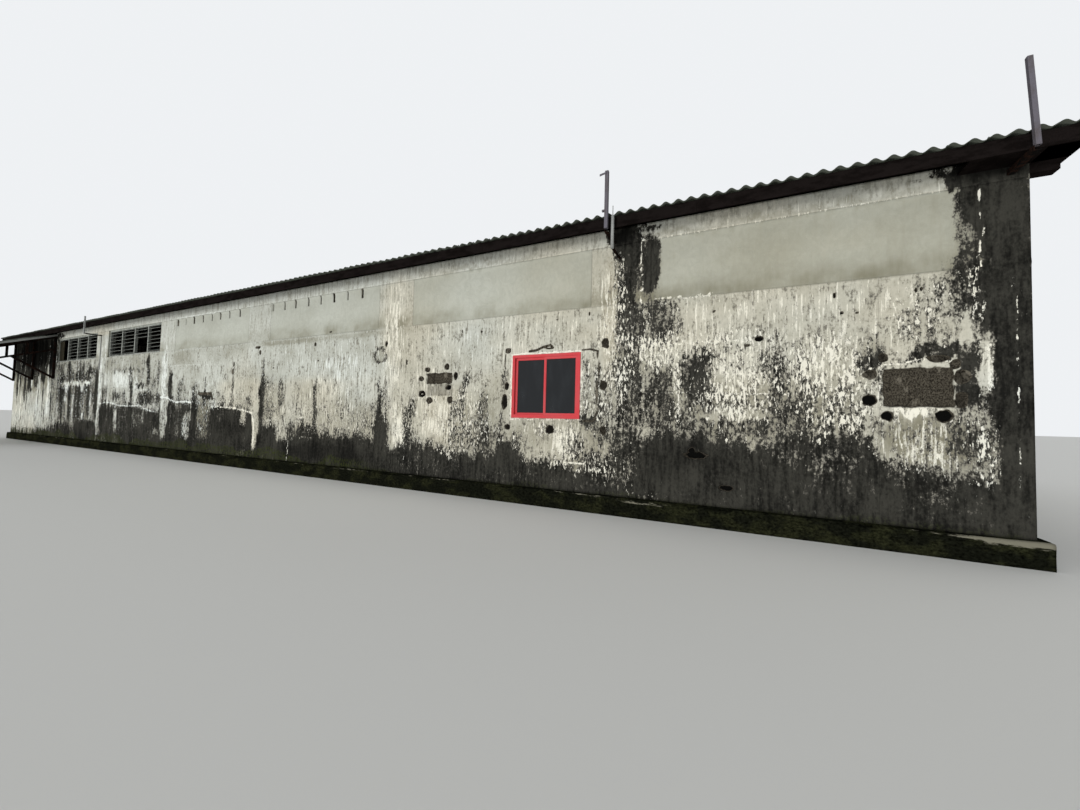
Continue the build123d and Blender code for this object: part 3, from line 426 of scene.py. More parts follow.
def ramp(value, low, high):
    """0 below low, 1 above high, smooth between them."""
    part = np.clip((value - low) / (high - low), 0, 1)
    return part * part * (3 - 2 * part)


def bell(value, width):
    """1 at 0, falling away on both sides of it over width."""
    return np.exp(-((value / width) ** 2))


def stroke(x, z, at_x, at_z, half_x, half_z):
    """1 in the middle of a soft-edged stroke, a half at its half sizes, 0 outside."""
    reach = (np.abs((x - at_x) / half_x) ** 2.4 + np.abs((z - at_z) / half_z) ** 2.4) ** (1 / 2.4)
    return ramp(-reach, -1.5, -0.5)


def painted(x, z, under, strokes):
    """What is under the strokes, with each stroke laid over it in turn."""
    for at_x, at_z, *others in strokes:
        half_x, half_z, value = (other / 100 for other in others)
        share = stroke(x, z, at_x, at_z, half_x, half_z)
        under = under + share * (value - under)
    return under


def line_mask(x, z, points, half_width):
    """1 along a line through points, down to 0 at twice its half width."""
    nearest = np.full_like(x, 9.0)
    for (x0, z0), (x1, z1) in zip(points, points[1:]):
        along = (x - x0) * (x1 - x0) + (z - z0) * (z1 - z0)
        part = np.clip(along / ((x1 - x0) ** 2 + (z1 - z0) ** 2), 0, 1)
        away = np.hypot(x - x0 - part * (x1 - x0), z - z0 - part * (z1 - z0))
        nearest = np.minimum(nearest, away)
    return ramp(-nearest, -2 * half_width, -0.5 * half_width)


def hole_mask(x, z, at_x, at_z, half_x, half_z, seed):
    """1 inside a ragged hole, 0 outside."""
    ragged = 1 + 0.5 * (cloud(x, z, 0.05, 0.05, seed, 2) - 0.5)
    reach = np.hypot((x - at_x) / half_x, (z - at_z) / half_z)
    return ramp(-reach * ragged, -1.12, -0.82)


def box_mask(x, z, left, right, foot, head, soft=0.012, ragged=0.04):
    """1 inside a rectangle with ragged edges, 0 outside."""
    wander = ragged * (cloud(x, z, 0.09, 0.09, 77, 3) - 0.5)
    inside = np.minimum.reduce([x - left, right - x, z - foot, head - z]) + wander
    return ramp(inside, -soft, soft)


def damage(x, z):
    """Holes and hacked squares of the front wall: their depth, and how dark they are, the darkest
    being painted shade inside them.
    """
    cuts = [(box_mask(x, z, *span), deep, shade) for *span, deep, shade in HACKED]
    for number, (at_x, at_z, *others) in enumerate(HOLES):
        half_x, half_z, deep, shade = (other / 100 for other in others)
        near = (abs(x - at_x) < 2 * half_x) & (abs(z - at_z) < 2 * half_z)
        if near.any():
            mask = hole_mask(x, z, at_x, at_z, half_x, half_z, 300 + number)
            cuts.append((mask, deep, min(1.0, shade + 0.06)))
    for at_x, half, share in SLOT_XS:
        mask = box_mask(x, z, at_x - half, at_x + half, SLOT_FOOT, SLOT_HEAD, 0.006, 0.015)
        cuts.append((mask, SLOT_DEPTH * share, share))
    cuts += [(line_mask(x, z, points, half), deep, 0.8) for points, half, deep in CRACKS]
    depth = np.maximum.reduce([mask * deep for mask, deep, shade in cuts])
    dark = np.maximum.reduce([mask * shade for mask, deep, shade in cuts])
    for at_x, at_z, half_x, half_z in LEFT_STANDING:
        mask = box_mask(x, z, at_x - half_x, at_x + half_x, at_z - half_z, at_z + half_z, 0.008)
        depth = depth * (1 - 0.8 * mask)
        dark = dark * (1 - mask)
    return depth, dark


def block_joints(x, z, sizes):
    """1 in the joints of the blockwork behind the render."""
    row = np.floor(z / sizes.block_tall)
    along = x / sizes.block_long + 0.5 * np.mod(row, 2)
    half = sizes.joint / 2
    side = abs(along - np.round(along)) * sizes.block_long
    bed = abs(z / sizes.block_tall - np.round(z / sizes.block_tall)) * sizes.block_tall
    return ramp(-np.minimum(side, bed), -2 * half, -half)


def round_patch(x, z):
    """The ring round the filled hole, and the disc inside it."""
    at_x, at_z, radius = ROUND_PATCH
    wander = 0.09 * (cloud(x, z, 0.07, 0.07, 91, 3) - 0.5)
    reach = np.hypot(x - at_x, z - at_z) + wander
    broken = 0.6 + 0.6 * cloud(x, z, 0.06, 0.06, 93, 2)
    ring = broken * ramp(-abs(reach - radius * 0.8), -0.07, -0.015)
    return ring, ramp(-reach, -radius, -radius * 0.86)


def front_relief(x, z, sizes):
    """How far the front surface stands out from the wall's face."""
    wave = sizes.trowel_wave * (cloud(x, z, 0.9, 0.6, 5) + 0.5 * cloud(x, z, 0.2, 0.12, 6) - 0.75)
    lip = sizes.sill_lip * bell(z - SILL - 0.01, 0.022)
    ridge = 0.005 * bell(z - LINTEL, 0.016)
    depth, dark = damage(x, z)
    ring, disc = round_patch(x, z)
    rough = ramp(dark, 0.2, 0.6) * 0.010 * (cloud(x, z, 0.05, 0.04, 8, 3) - 0.5)
    seam = 0.0
    for points, half, strength in LIME_LINES:
        seam = np.maximum(seam, 0.005 * strength * line_mask(x, z, points, half))
    joints = 0.005 * block_joints(x, z, sizes) * ramp(depth, 0.035, 0.036)
    return wave + lip + ridge + seam + rough - depth - joints - 0.012 * ring - 0.004 * disc


def front_marks(x, z):
    """Everything that colours the front wall, as one value a point for each mark."""
    warped_x = x + 0.13 * (cloud(x, z, 0.16, 0.30, 31, 3) - 0.5)
    warped_z = z + 0.34 * (cloud(x, z, 0.11, 0.6, 32, 4) - 0.5)
    foot_x, foot_z = zip(*BLACK_FOOT)
    edge = np.interp(warped_x, foot_x, foot_z)
    above = np.maximum(warped_z - edge, 0)
    walled_up = ramp(z, SILL - 0.02, SILL + 0.02) * ramp(-z, -LINTEL - 0.02, -LINTEL + 0.02)
    top = ramp(z, LINTEL - 0.015, LINTEL + 0.015)
    mould = 0.03 - 0.5 * walled_up - 0.55 * top + 0.36 * np.exp(-above / 0.5)
    thick = 0.62 + 0.8 * cloud(x, z, 0.9, 0.6, 51, 4)
    left_bays = ramp(-x, 2.6, 8.0)
    streaks = left_bays * (lattice(warped_x / 0.15, z / 2.1, 61) - 0.5)
    mould = mould + ramp(edge - warped_z, -0.24, 0.2) * (thick - mould)
    mould = painted(warped_x, warped_z, mould, MOULD)
    mould = mould + 0.65 * streaks * ramp(mould, 0.0, 0.3)
    flecks = 0.16 * bell(mould - 0.5, 0.28)
    flecks = painted(warped_x, warped_z, flecks, FLECKS) * ramp(-mould, -1.05, -0.8)
    lime = painted(warped_x, warped_z, np.zeros_like(x), RUNS) * ramp(-mould, -1.1, -0.7)
    lime = lime + 0.5 * left_bays * ramp(lattice(warped_x / 0.12, z / 1.7, 63), 0.6, 0.95)
    for points, half, strength in LIME_LINES:
        wander = 0.05 * (cloud(x, z, 0.07, 0.07, 35, 3) - 0.5)
        lime = np.maximum(lime, strength * line_mask(x + wander, z + wander, points, half))
    depth, dark = damage(x, z)
    ring, disc = round_patch(x, z)
    right_end = ramp(x, 12.0, 13.0)
    grime = 0.15 + 0.5 * (cloud(x, z, 1.1, 0.8, 24, 4) - 0.5)
    # Less grime on the ring beam, so that it is paler: painted light that offsets the shade of the
    # eave; a little more grime stays at the right end
    grime += top * (0.10 * right_end - 0.45)
    low_smudge = walled_up * ramp(-z, -3.9, -3.5) * cloud(x, z, 0.35, 0.25, 53, 4)
    grime += 0.8 * low_smudge + 0.22 * walled_up * ramp(x, 11.5, 13.0) - 0.1 * walled_up
    wavy_z = z + 0.06 * (cloud(x, z, 0.3, 9, 45, 3) - 0.5)
    band = line_mask(x, wavy_z, ((2.5, 3.37), (7.1, 3.37)), 0.05) * cloud(x, z, 0.5, 0.3, 46, 3)
    grime += 0.45 * band + 0.10 * line_mask(x, z, ((-17, 3.37), (17, 3.37)), 0.045)
    grime = painted(warped_x, warped_z, grime, STAINS) + 0.3 * np.clip(mould, 0, 0.6)
    warm = 0.45 + 0.9 * (cloud(x, z, 1.6, 1.0, 41, 3) - 0.5) - 0.15 * top
    warm -= 0.5 * ramp(-x, -2.5, 3.0) * ramp(-z, -4.4, -4.2) * ramp(x, -13.0, -12.0)
    warm -= 0.3 * ramp(-x, 12.0, 13.0)
    warm += 0.5 * stroke(x, z, 12.34, 3.2, 0.13, 0.9) + 0.4 * stroke(x, z, 9.0, 1.5, 0.6, 0.5)
    warm -= 0.35 * ramp(-x, -7.4, -6.8) * ramp(z, 2.2, 2.6) * ramp(x, -7, -6)
    tufts = cloud(x, z, 0.7, 9.0, 47, 4)
    moss = ramp(0.30 + 0.55 * tufts - z, 0.0, 0.16) * ramp(-x, -8.0, -5.0)
    moss += 0.4 * ramp(0.25 + 0.25 * tufts - z, 0.0, 0.08)
    joints = block_joints(x, z, bpy.context.scene.hall_walls)
    for *span, deep, shade in HACKED:
        if deep > BLOCKS_SHOW:
            inside = box_mask(x, z, *span)
            dark = np.maximum(dark, inside * np.minimum(1.0, shade + 0.25 * joints))
    return {
        "mould": mould + ring * (0.66 - mould),
        "grime": grime + 0.3 * disc,
        "flecks": flecks * (1 - dark) - 0.2 * walled_up,
        "lime": lime * (1 - dark) - 0.2 * walled_up * (lime < 0.2),
        "warm": warm,
        "moss": moss,
        "bare": dark,
    }


def plain_relief(u, z, sizes, seed):
    """Surface of the walls that carry no damage."""
    wave = 2 * sizes.trowel_wave * (cloud(u, z, 0.9, 0.6, seed) - 0.5)
    lip = sizes.sill_lip * bell(z - SILL - 0.01, 0.022)
    return wave + lip


def plain_marks(u, z, seed, mouldy):
    """Marks of the other walls, from noise alone; mouldy is how far up the black reaches."""
    warped_z = z + 0.5 * (cloud(u, z, 0.13, 0.6, seed + 1, 4) - 0.5)
    warped_u = u + 0.2 * (cloud(u, z, 0.2, 0.4, seed + 2, 3) - 0.5)
    edge = PLINTH_TOP + mouldy * (0.15 + 1.7 * cloud(warped_u, z, 1.5, 60.0, seed + 3, 4))
    above = np.maximum(warped_z - edge, 0)
    mould = 0.06 + 0.42 * np.exp(-above / 0.6)
    mould = mould + ramp(edge - warped_z, -0.24, 0.2) * (1.0 - mould)
    patches = ramp(cloud(warped_u, warped_z, 1.4, 1.2, seed + 4, 4), 0.52, 0.75)
    runs = ramp(lattice(warped_u / 0.3, z / 9.0, seed + 5), 0.6, 0.95)
    runs = runs * ramp(cloud(u, z, 1.2, 1.8, seed + 6), 0.45, 0.65)
    mould = np.maximum(mould, np.maximum(0.6 * patches, 0.85 * runs))
    top = ramp(z, LINTEL - 0.015, LINTEL + 0.015)
    return {
        "mould": mould,
        "grime": 0.15 + 0.5 * (cloud(u, z, 1.1, 0.8, seed + 7, 4) - 0.5) + 0.2 * top,
        "flecks": 0.28 * bell(mould - 0.5, 0.28),
        "lime": 0.2 * ramp(cloud(u, z, 1.5, 1.0, seed + 8, 3), 0.4, 0.7),
        "warm": 0.5 + 0.9 * (cloud(u, z, 1.6, 1.0, seed + 9, 3) - 0.5) + 0.35 * top,
        "moss": ramp(-z, -0.6, -0.3) * ramp(cloud(u, z, 1.5, 9.0, seed + 10, 3), 0.35, 0.6),
        "bare": np.zeros_like(u),
    }


# Meshes
def lines_between(low, high, step, stops=(), fine=(), fine_step=0.01):
    """Grid lines from low to high, with one on each stop and more of them in the fine ranges."""
    marks = {low, high}
    marks.update(stop for stop in stops if low < stop < high)
    marks.update(end for span in fine for end in span if low < end < high)
    marks = sorted(marks)
    lines = [low]
    for start, end in zip(marks, marks[1:]):
        middle = (start + end) / 2
        inside = any(left <= middle <= right for left, right in fine)
        count = max(1, round((end - start) / (fine_step if inside else step)))
        lines += [start + (end - start) * i / count for i in range(1, count + 1)]
    return np.array(lines)


def mesh_object(name, points, faces, smooth=None, attributes=None):
    """A new object from points and faces, with its marks stored on its points."""
    mesh = bpy.data.meshes.new(name)
    mesh.from_pydata([tuple(p) for p in points], [], faces)
    if smooth is not None:
        mesh.polygons.foreach_set("use_smooth", smooth)
    for key, values in (attributes or {}).items():
        layer = mesh.attributes.new(key, "FLOAT", "POINT")
        layer.data.foreach_set("value", np.asarray(values, np.float32))
    work = bmesh.new()
    work.from_mesh(mesh)
    bmesh.ops.recalc_face_normals(work, faces=work.faces)
    work.to_mesh(mesh)
    work.free()
    mesh.update()
    made = bpy.data.objects.new(name, mesh)
    bpy.context.scene.collection.objects.link(made)
    return made


def put_up(piece, finish_name, slot, *nodes):
    """Gives a piece its finish and its body, and hides the nodes it stands for."""
    piece.data.materials.clear()
    piece.data.materials.append(finish(finish_name))
    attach(piece, "root")
    if nodes:
        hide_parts(*nodes)


def full_turn(sides):
    """Angles of a full turn in equal steps."""
    return [2 * math.pi * i / sides for i in range(sides)]


def faces_between(loops, size, closed=False):
    """Faces from each loop of points to the next, with caps at both ends unless it is closed."""
    faces = []
    for loop in range(loops if closed else loops - 1):
        here, there = loop * size, (loop + 1) % loops * size
        for i in range(size):
            j = (i + 1) % size
            faces.append((here + i, here + j, there + j, there + i))
    if not closed:
        last = (loops - 1) * size
        faces += [tuple(range(size)), tuple(range(last, last + size))]
    return faces


class Build:
    """Collects points and faces of many small shapes for one mesh."""

    def __init__(self):
        self.points, self.faces, self.smooth = [], [], []

    def add(self, points, faces, smooth=False):
        start = len(self.points)
        self.points.extend(tuple(p) for p in points)
        self.faces.extend([tuple(start + i for i in face) for face in faces])
        self.smooth.extend([smooth] * len(faces))

    def loops(self, loops, closed=False, smooth=False):
        """Loops of points joined each to the next."""
        points = [point for loop in loops for point in loop]
        self.add(points, faces_between(len(loops), len(loops[0]), closed), smooth)

    def box(self, low, high, bevel=0.0):
        """A box with its long edges cut off by bevel."""
        low, high = Vector(low), Vector(high)
        size = high - low
        long = max(range(3), key=lambda axis: size[axis])
        a, b = [axis for axis in range(3) if axis != long]
        wide, tall = size[a], size[b]
        ring = [(0, 0), (wide, 0), (wide, tall), (0, tall)]
        if bevel > 0:
            ring = [(bevel, 0), (wide - bevel, 0), (wide, bevel), (wide, tall - bevel),
                    (wide - bevel, tall), (bevel, tall), (0, tall - bevel), (0, bevel)]
        loops = []
        for end in (low[long], high[long]):
            loops.append([[0, 0, 0] for corner in ring])
            for point, (da, db) in zip(loops[-1], ring):
                point[long], point[a], point[b] = end, low[a] + da, low[b] + db
        self.loops(loops)

    def prism(self, outline, start, end, across, up):
        """An outline of (across, up) points run from start to end."""
        across, up = Vector(across), Vector(up)
        self.loops([[Vector(at) + across * a + up * b for a, b in outline] for at in (start, end)])

    def tube(self, start, end, radius, sides=12):
        """A round bar or pipe from start to end."""
        start, end = Vector(start), Vector(end)
        along = (end - start).normalized()
        across = along.orthogonal().normalized()
        up = along.cross(across)
        outline = [(radius * math.cos(t), radius * math.sin(t)) for t in full_turn(sides)]
        self.prism(outline, start, end, across, up)

    def angle(self, start, end, leg, thick, across, up):
        """A steel angle: two legs of equal width along start to end."""
        outline = [(0, 0), (leg, 0), (leg, thick), (thick, thick), (thick, leg), (0, leg)]
        self.prism(outline, start, end, across, up)

    def mitred(self, left, right, foot, head, profile):
        """A frame with mitred corners; profile is (distance in from the edge, y) round its bar."""
        ends = (left, foot, 1, 1), (right, foot, -1, 1), (right, head, -1, -1), (left, head, 1, -1)
        self.loops([
            [(x + to_x * inward, y, z + to_z * inward) for inward, y in profile]
            for x, z, to_x, to_z in ends
        ], True)

    def square_tube(self, foot, head, wide, wall):
        """An upright square tube, open at its ends, from foot to head."""
        foot, head = Vector(foot), Vector(head)
        outer, inner = wide / 2, wide / 2 - wall
        self.loops([
            [middle + half * Vector((sx, sy, 0)) for sx, sy in ((-1, -1), (1, -1), (1, 1), (-1, 1))]
            for middle, half in ((foot, outer), (head, outer), (head, inner), (foot, inner))
        ], True)

    def dome(self, at, normal, radius, rise, sides=8):
        """A bolt's domed washer and nut on a surface."""
        at, normal = Vector(at), Vector(normal).normalized()
        across = normal.orthogonal().normalized()
        up = normal.cross(across)
        flat = [across * math.cos(turn) + up * math.sin(turn) for turn in full_turn(sides)]
        self.loops([
            [at + away * radius * share + normal * rise * lift for away in flat]
            for share, lift in ((1.0, -0.3), (1.0, 0.1), (0.72, 0.45), (0.36, 0.5), (0.34, 1.0))
        ])

    def finish(self, name):
        return mesh_object(name, self.points, self.faces, self.smooth)


def wall_span(side, low, high):
    """A box seen on a side: its left, right, inner and outer faces."""
    (ax, ay), (ox, oy) = SIDES[side]
    alongs = sorted((low.x * ax + low.y * ay, high.x * ax + high.y * ay))
    outs = sorted((low.x * ox + low.y * oy, high.x * ox + high.y * oy))
    return alongs[0], alongs[1], outs[0], outs[1]


# A panel's mesh with no finer ranges along or up it
NO_FINE = (((), 0.01), ((), 0.01))


def wall_panel(name, side, low, high, steps, relief, marks, openings=(), top=None, fine=NO_FINE):
    """A closed panel of wall: a fine outer face with relief, and a plain back.

    steps are the spacing of its mesh along and up the wall, and fine the ranges and spacing where it
    is finer. openings are (left, right, foot, head) cut through it; top gives the height of a
    sloping head over the wall's top line."""
    left, right, inner, outer = wall_span(side, low, high)
    (ax, ay), (ox, oy) = SIDES[side]
    stops_u = {left, right, *(edge for o in openings for edge in o[:2])}
    stops_z = {low.z, high.z, *(edge for o in openings for edge in o[2:])}
    if top is not None:
        stops_u.add(0.0)
        stops_z.add(WALL_TOP)
    stops_u, stops_z = sorted(stops_u), sorted(stops_z)
    lines_u = lines_between(left, right, steps[0], stops_u, *fine[0])
    lines_z = lines_between(low.z, high.z, steps[1], stops_z, *fine[1])

    def height(u, z):
        if top is None:
            return z
        share = np.clip((z - WALL_TOP) / (high.z - WALL_TOP), 0, 1)
        return np.where(z > WALL_TOP, WALL_TOP + share * (top(u) - WALL_TOP), z)

    def world(u, out, z):
        return np.stack([u * ax + out * ox, u * ay + out * oy, z], axis=-1)

    def inside(u, z):
        return any(o[0] < u < o[1] and o[2] < z < o[3] for o in openings)

    grid_u, grid_z = np.meshgrid(lines_u, lines_z, indexing="ij")
    real_z = height(grid_u, grid_z)
    points = world(grid_u, outer + relief(grid_u, real_z), real_z).reshape(-1, 3)
    values = marks(grid_u.ravel(), real_z.ravel())
    count_z = len(lines_z)
    at_u = [int(np.argmin(abs(lines_u - stop))) for stop in stops_u]
    at_z = [int(np.argmin(abs(lines_z - stop))) for stop in stops_z]
    back_u, back_z = np.meshgrid(stops_u, stops_z, indexing="ij")
    back_real = height(back_u, back_z)
    backs = world(back_u, np.full_like(back_u, inner), back_real).reshape(-1, 3)
    first_back = len(points)

    def front(i, j):
        return i * count_z + j

    def back(a, b):
        return first_back + a * len(stops_z) + b

    kept = {
        (a, b)
        for a in range(len(stops_u) - 1)
        for b in range(len(stops_z) - 1)
        if not inside((stops_u[a] + stops_u[a + 1]) / 2, (stops_z[b] + stops_z[b + 1]) / 2)
    }
    faces, smooth = [], []
    for a, b in sorted(kept):
        i = np.arange(at_u[a], at_u[a + 1])[:, None]
        j = np.arange(at_z[b], at_z[b + 1])[None, :]
        corner = (i * count_z + j).ravel()
        quads = np.stack([corner, corner + count_z, corner + count_z + 1, corner + 1], axis=1)
        faces.extend(quads.tolist())
        smooth.extend([True] * len(quads))
        faces.append([back(a, b), back(a, b + 1), back(a + 1, b + 1), back(a + 1, b)])
        smooth.append(False)
        columns = range(at_u[a], at_u[a + 1] + 1)
        rows = range(at_z[b], at_z[b + 1] + 1)
        for end in (0, 1):
            level = [front(c, at_z[b + end]) for c in columns]
            upright = [front(at_u[a + end], r) for r in rows]
            step = 2 * end - 1
            for neighbour, rim in (
                ((a, b + step), level + [back(a + 1, b + end), back(a, b + end)]),
                ((a + step, b), upright + [back(a + end, b + 1), back(a + end, b)]),
            ):
                if neighbour not in kept:
                    faces.append(rim)
                    smooth.append(False)
    points = np.concatenate([points, backs])
    behind = marks(back_u.ravel(), back_real.ravel())
    values = {key: np.concatenate([v, behind[key]]) for key, v in values.items()}
    used = np.zeros(len(points), bool)
    used[[index for face in faces for index in face]] = True
    new_index = np.cumsum(used) - 1
    faces = [[int(new_index[index]) for index in face] for face in faces]
    values = {key: v[used] for key, v in values.items()}
    return mesh_object(name, points[used], faces, smooth, values)


# Materials
def add(tree, kind, inputs=None, **settings):
    """Adds a shader node: settings are its properties, inputs its sockets as values or as links."""
    node = tree.nodes.new(f"ShaderNode{kind}")
    for key, value in settings.items():
        setattr(node, key, value)
    fill(tree, node, inputs or {})
    return node


def fill(tree, node, inputs):
    """Sets a node's sockets, as values or as links."""
    for key, value in inputs.items():
        if isinstance(value, bpy.types.NodeSocket):
            tree.links.new(value, node.inputs[key])
        else:
            node.inputs[key].default_value = value


def new_material(name):
    """An empty node material with its output and shader."""
    material = bpy.data.materials.new(name)
    material.use_nodes = True
    tree = material.node_tree
    tree.nodes.clear()
    shader = add(tree, "BsdfPrincipled")
    add(tree, "OutputMaterial", {"Surface": shader.outputs[0]})
    return material, tree, shader


def rgba(value):
    """A colour with full alpha, from a hex value or from linear red, green and blue."""
    return (*(linear(value) if isinstance(value, str) else value[:3]), 1.0)


def weathered_render(name, pale, worn, colours, trowelled):
    """Cement and sand render with old limewash and black mould.

    Matt and chalky, so roughness is near 1. Each mark says what share of the wall it covers, and
    noise stretched down the wall decides where, so mould and flecks break up as rain leaves them.
    Sand grains of 1 to 3 mm are drawn near 8 mm, so that they show. Trowelled render is smoother,
    cleaner and more even, with the sweep of the trowel in it."""
    material, tree, shader = new_material(name)
    place = add(tree, "TexCoord").outputs["Object"]
    sweep_scale, sweep, sweep_rise = (5.5, 0.13, 2.2) if trowelled else (9, 0.0, 1.2)
    washed, uneven, speck_rise = (0.08, 0.45, 0.1) if trowelled else (0.5, 1.0, 0.4)

    part = {
        key: add(tree, "Attribute", attribute_name=key).outputs["Fac"]
        for key in ("mould", "grime", "flecks", "lime", "warm", "moss", "bare")
    }
    # Noise: its width over its height, scale, detail, roughness and distortion
    for key, shape, scale, detail, rough, twist in (
        ("streak", 0.12, 17, 3, 0.55, 0), ("blotch", 0.55, 6, 8, 0.74, 0),
        ("speck", 0.6, 26, 5, 0.7, 0), ("crumbs", 0.7, 55, 3, 0.65, 0),
        ("grain", 1, 130, 2, 0.6, 0), ("run", 0.09, 30, 3, 0.55, 0),
        ("wide", 0.8, 1.7, 5, 0.6, 0), ("flake", 0.32, 30, 4, 0.7, 0),
        ("swirl", 1, sweep_scale, 3, 0.5, 1.6),
    ):
        spot = add(tree, "Mapping", {"Vector": place, "Scale": (1, 1, shape)}).outputs[0]
        inputs = {"Vector": spot, "Scale": scale, "Detail": detail, "Roughness": rough,
                  "Distortion": twist}
        part[key] = add(tree, "TexNoise", inputs).outputs["Fac"]

    # What the layers below are laid on by: the part each starts from, the shares of others added to
    # it, and the range of that sum which is spread from 0 to a greatest value
    for key, first, shares, span in (
        ("growth", None, {"streak": 0.16, "blotch": 0.38, "speck": 0.34, "crumbs": 0.12},
         (0.395, 0.605, 1)),
        ("flakes", None, {"flake": 0.55, "blotch": 0.3, "streak": 0.15}, (0.375, 0.625, 1)),
        ("runs", None, {"run": 0.65, "speck": 0.35}, (0.36, 0.64, 1)),
        ("wash", None, {"streak": 0.34, "blotch": 0.33, "speck": 0.33}, (0.41, 0.59, 1)),
        ("mottle", None, {"speck": 0.34, "wide": 0.36, "streak": 0.3}, (0.4, 0.6, 1)),
        ("warmth", "warm", {}, (0, 0.6, 1)), ("wear", "warm", {}, (0, 1.2, 1)),
        ("sand", "grain", {}, (0.3, 0.7, 0.1)), ("washed", None, {"wash": washed}, None),
        ("bare_sand", "wash", {}, (0.42, 0, washed)), ("sweep", "swirl", {}, (0.4, 0.62, sweep)),
        ("dirty", "grime", {"streak": uneven, "wide": 1.1 * uneven, "blotch": uneven},
         (1.55 * uneven - 0.15, 1.55 * uneven + 1.15, 0.9)),
        ("pale_run", "lime", {"runs": -1}, (-0.14, 0.08, 0.8)),
        ("film", "mould", {"growth": -1}, None), ("veil", "film", {}, (-0.42, 0.06, 0.6)),
        ("thick", "film", {}, (0, 0.2, 1)), ("deepness", "film", {}, (0.08, 0.5, 1)),
        ("jet", "mould", {}, (1.2, 1.6, 1)), ("grown", "film", {}, (-0.15, 0.11, 0.98)),
        ("chips", "flecks", {"flakes": -1}, (-0.01, 0.05, 1)),
        ("chipped", None, {"chips": 0.92}, None),
        ("lines", "lime", {"flakes": 0.9}, (1.12, 1.3, 0.95)),
        ("gravel", None, {"grain": 0.5, "crumbs": 0.5}, (0.42, 0.58, 1)),
        ("lumps", "blotch", {}, (0.53, 0.6, 0.5)), ("hollow", "bare", {}, (0.82, 1, 1)),
        ("opened", "bare", {}, (0.1, 0.45, 1)), ("mossy", "moss", {}, (0.1, 0.8, 0.75)),
        ("tufts", "speck", {}, (0.46, 0.56, 1)),
        ("rise", None, {"grain": 0.5, "swirl": sweep_rise, "chips": 0.2, "speck": speck_rise}, None),
    ):
        total = part[first] if first else 0.0
        for source, share in shares.items():
            inputs = {0: part[source], 1: share, 2: total}
            total = add(tree, "Math", inputs, operation="MULTIPLY_ADD").outputs[0]
        if span:
            inputs = {"Value": total, "From Min": span[0], "From Max": span[1], "To Max": span[2]}
            spread = add(tree, "MapRange", inputs, interpolation_type="SMOOTHSTEP")
            total = spread.outputs[0]
        part[key] = total
    green = add(tree, "Math", {0: part["mossy"], 1: part["tufts"]}, operation="MULTIPLY")
    part["green"] = green.outputs[0]

    # Layers of colour: what each makes, what it is laid on by, the colour under it and over it
    paint = {key: rgba(getattr(colours, key)) for key in ("limewash", "mould", "block", "moss")}
    paint.update(pale=rgba(pale), worn=rgba(worn))
    for key, share, *pair in (
        ("chalk", "warmth", "E6EAE4", "limewash"),
        ("base", "wear", "pale", "worn"),
        ("base", "sand", "base", "85827A"),
        ("base", "washed", "base", "chalk"),
        ("base", "bare_sand", "base", "8C887A"),
        ("base", "sweep", "base", "8F9084"),
        ("base", "dirty", "base", "77735F"),
        ("base", "pale_run", "base", "chalk"),
        ("base", "veil", "base", "67645A"),
        ("black", "thick", "64615A", "33322E"),
        ("deep", "mottle", "mould", "3B3A35"),
        ("black", "deepness", "black", "deep"),
        ("black", "jet", "black", "0B0B0B"),
        ("base", "grown", "base", "black"),
        ("base", "chipped", "base", "chalk"),
        ("base", "lines", "base", "chalk"),
        ("block", "gravel", "block", "1E1B17"),
        ("block", "lumps", "block", "857F72"),
        # Near black where the darkness is highest: painted shade inside holes and slots
        ("block", "hollow", "block", "0F0F0E"),
        ("base", "opened", "base", "block"),
        ("base", "green", "base", "moss"),
    ):
        under, over = (paint[name] if name in paint else rgba(name) for name in pair)
        mixed = add(tree, "Mix", {0: part[share], 6: under, 7: over}, data_type="RGBA")
        paint[key] = mixed.outputs[2]

    bump = add(tree, "Bump", {"Strength": 0.45, "Distance": 0.008, "Height": part["rise"]})
    fill(tree, shader, {"Base Color": paint["base"], "Normal": bump.outputs[0], "Roughness": 0.95,
                        "Specular IOR Level": 0.0})
    return material


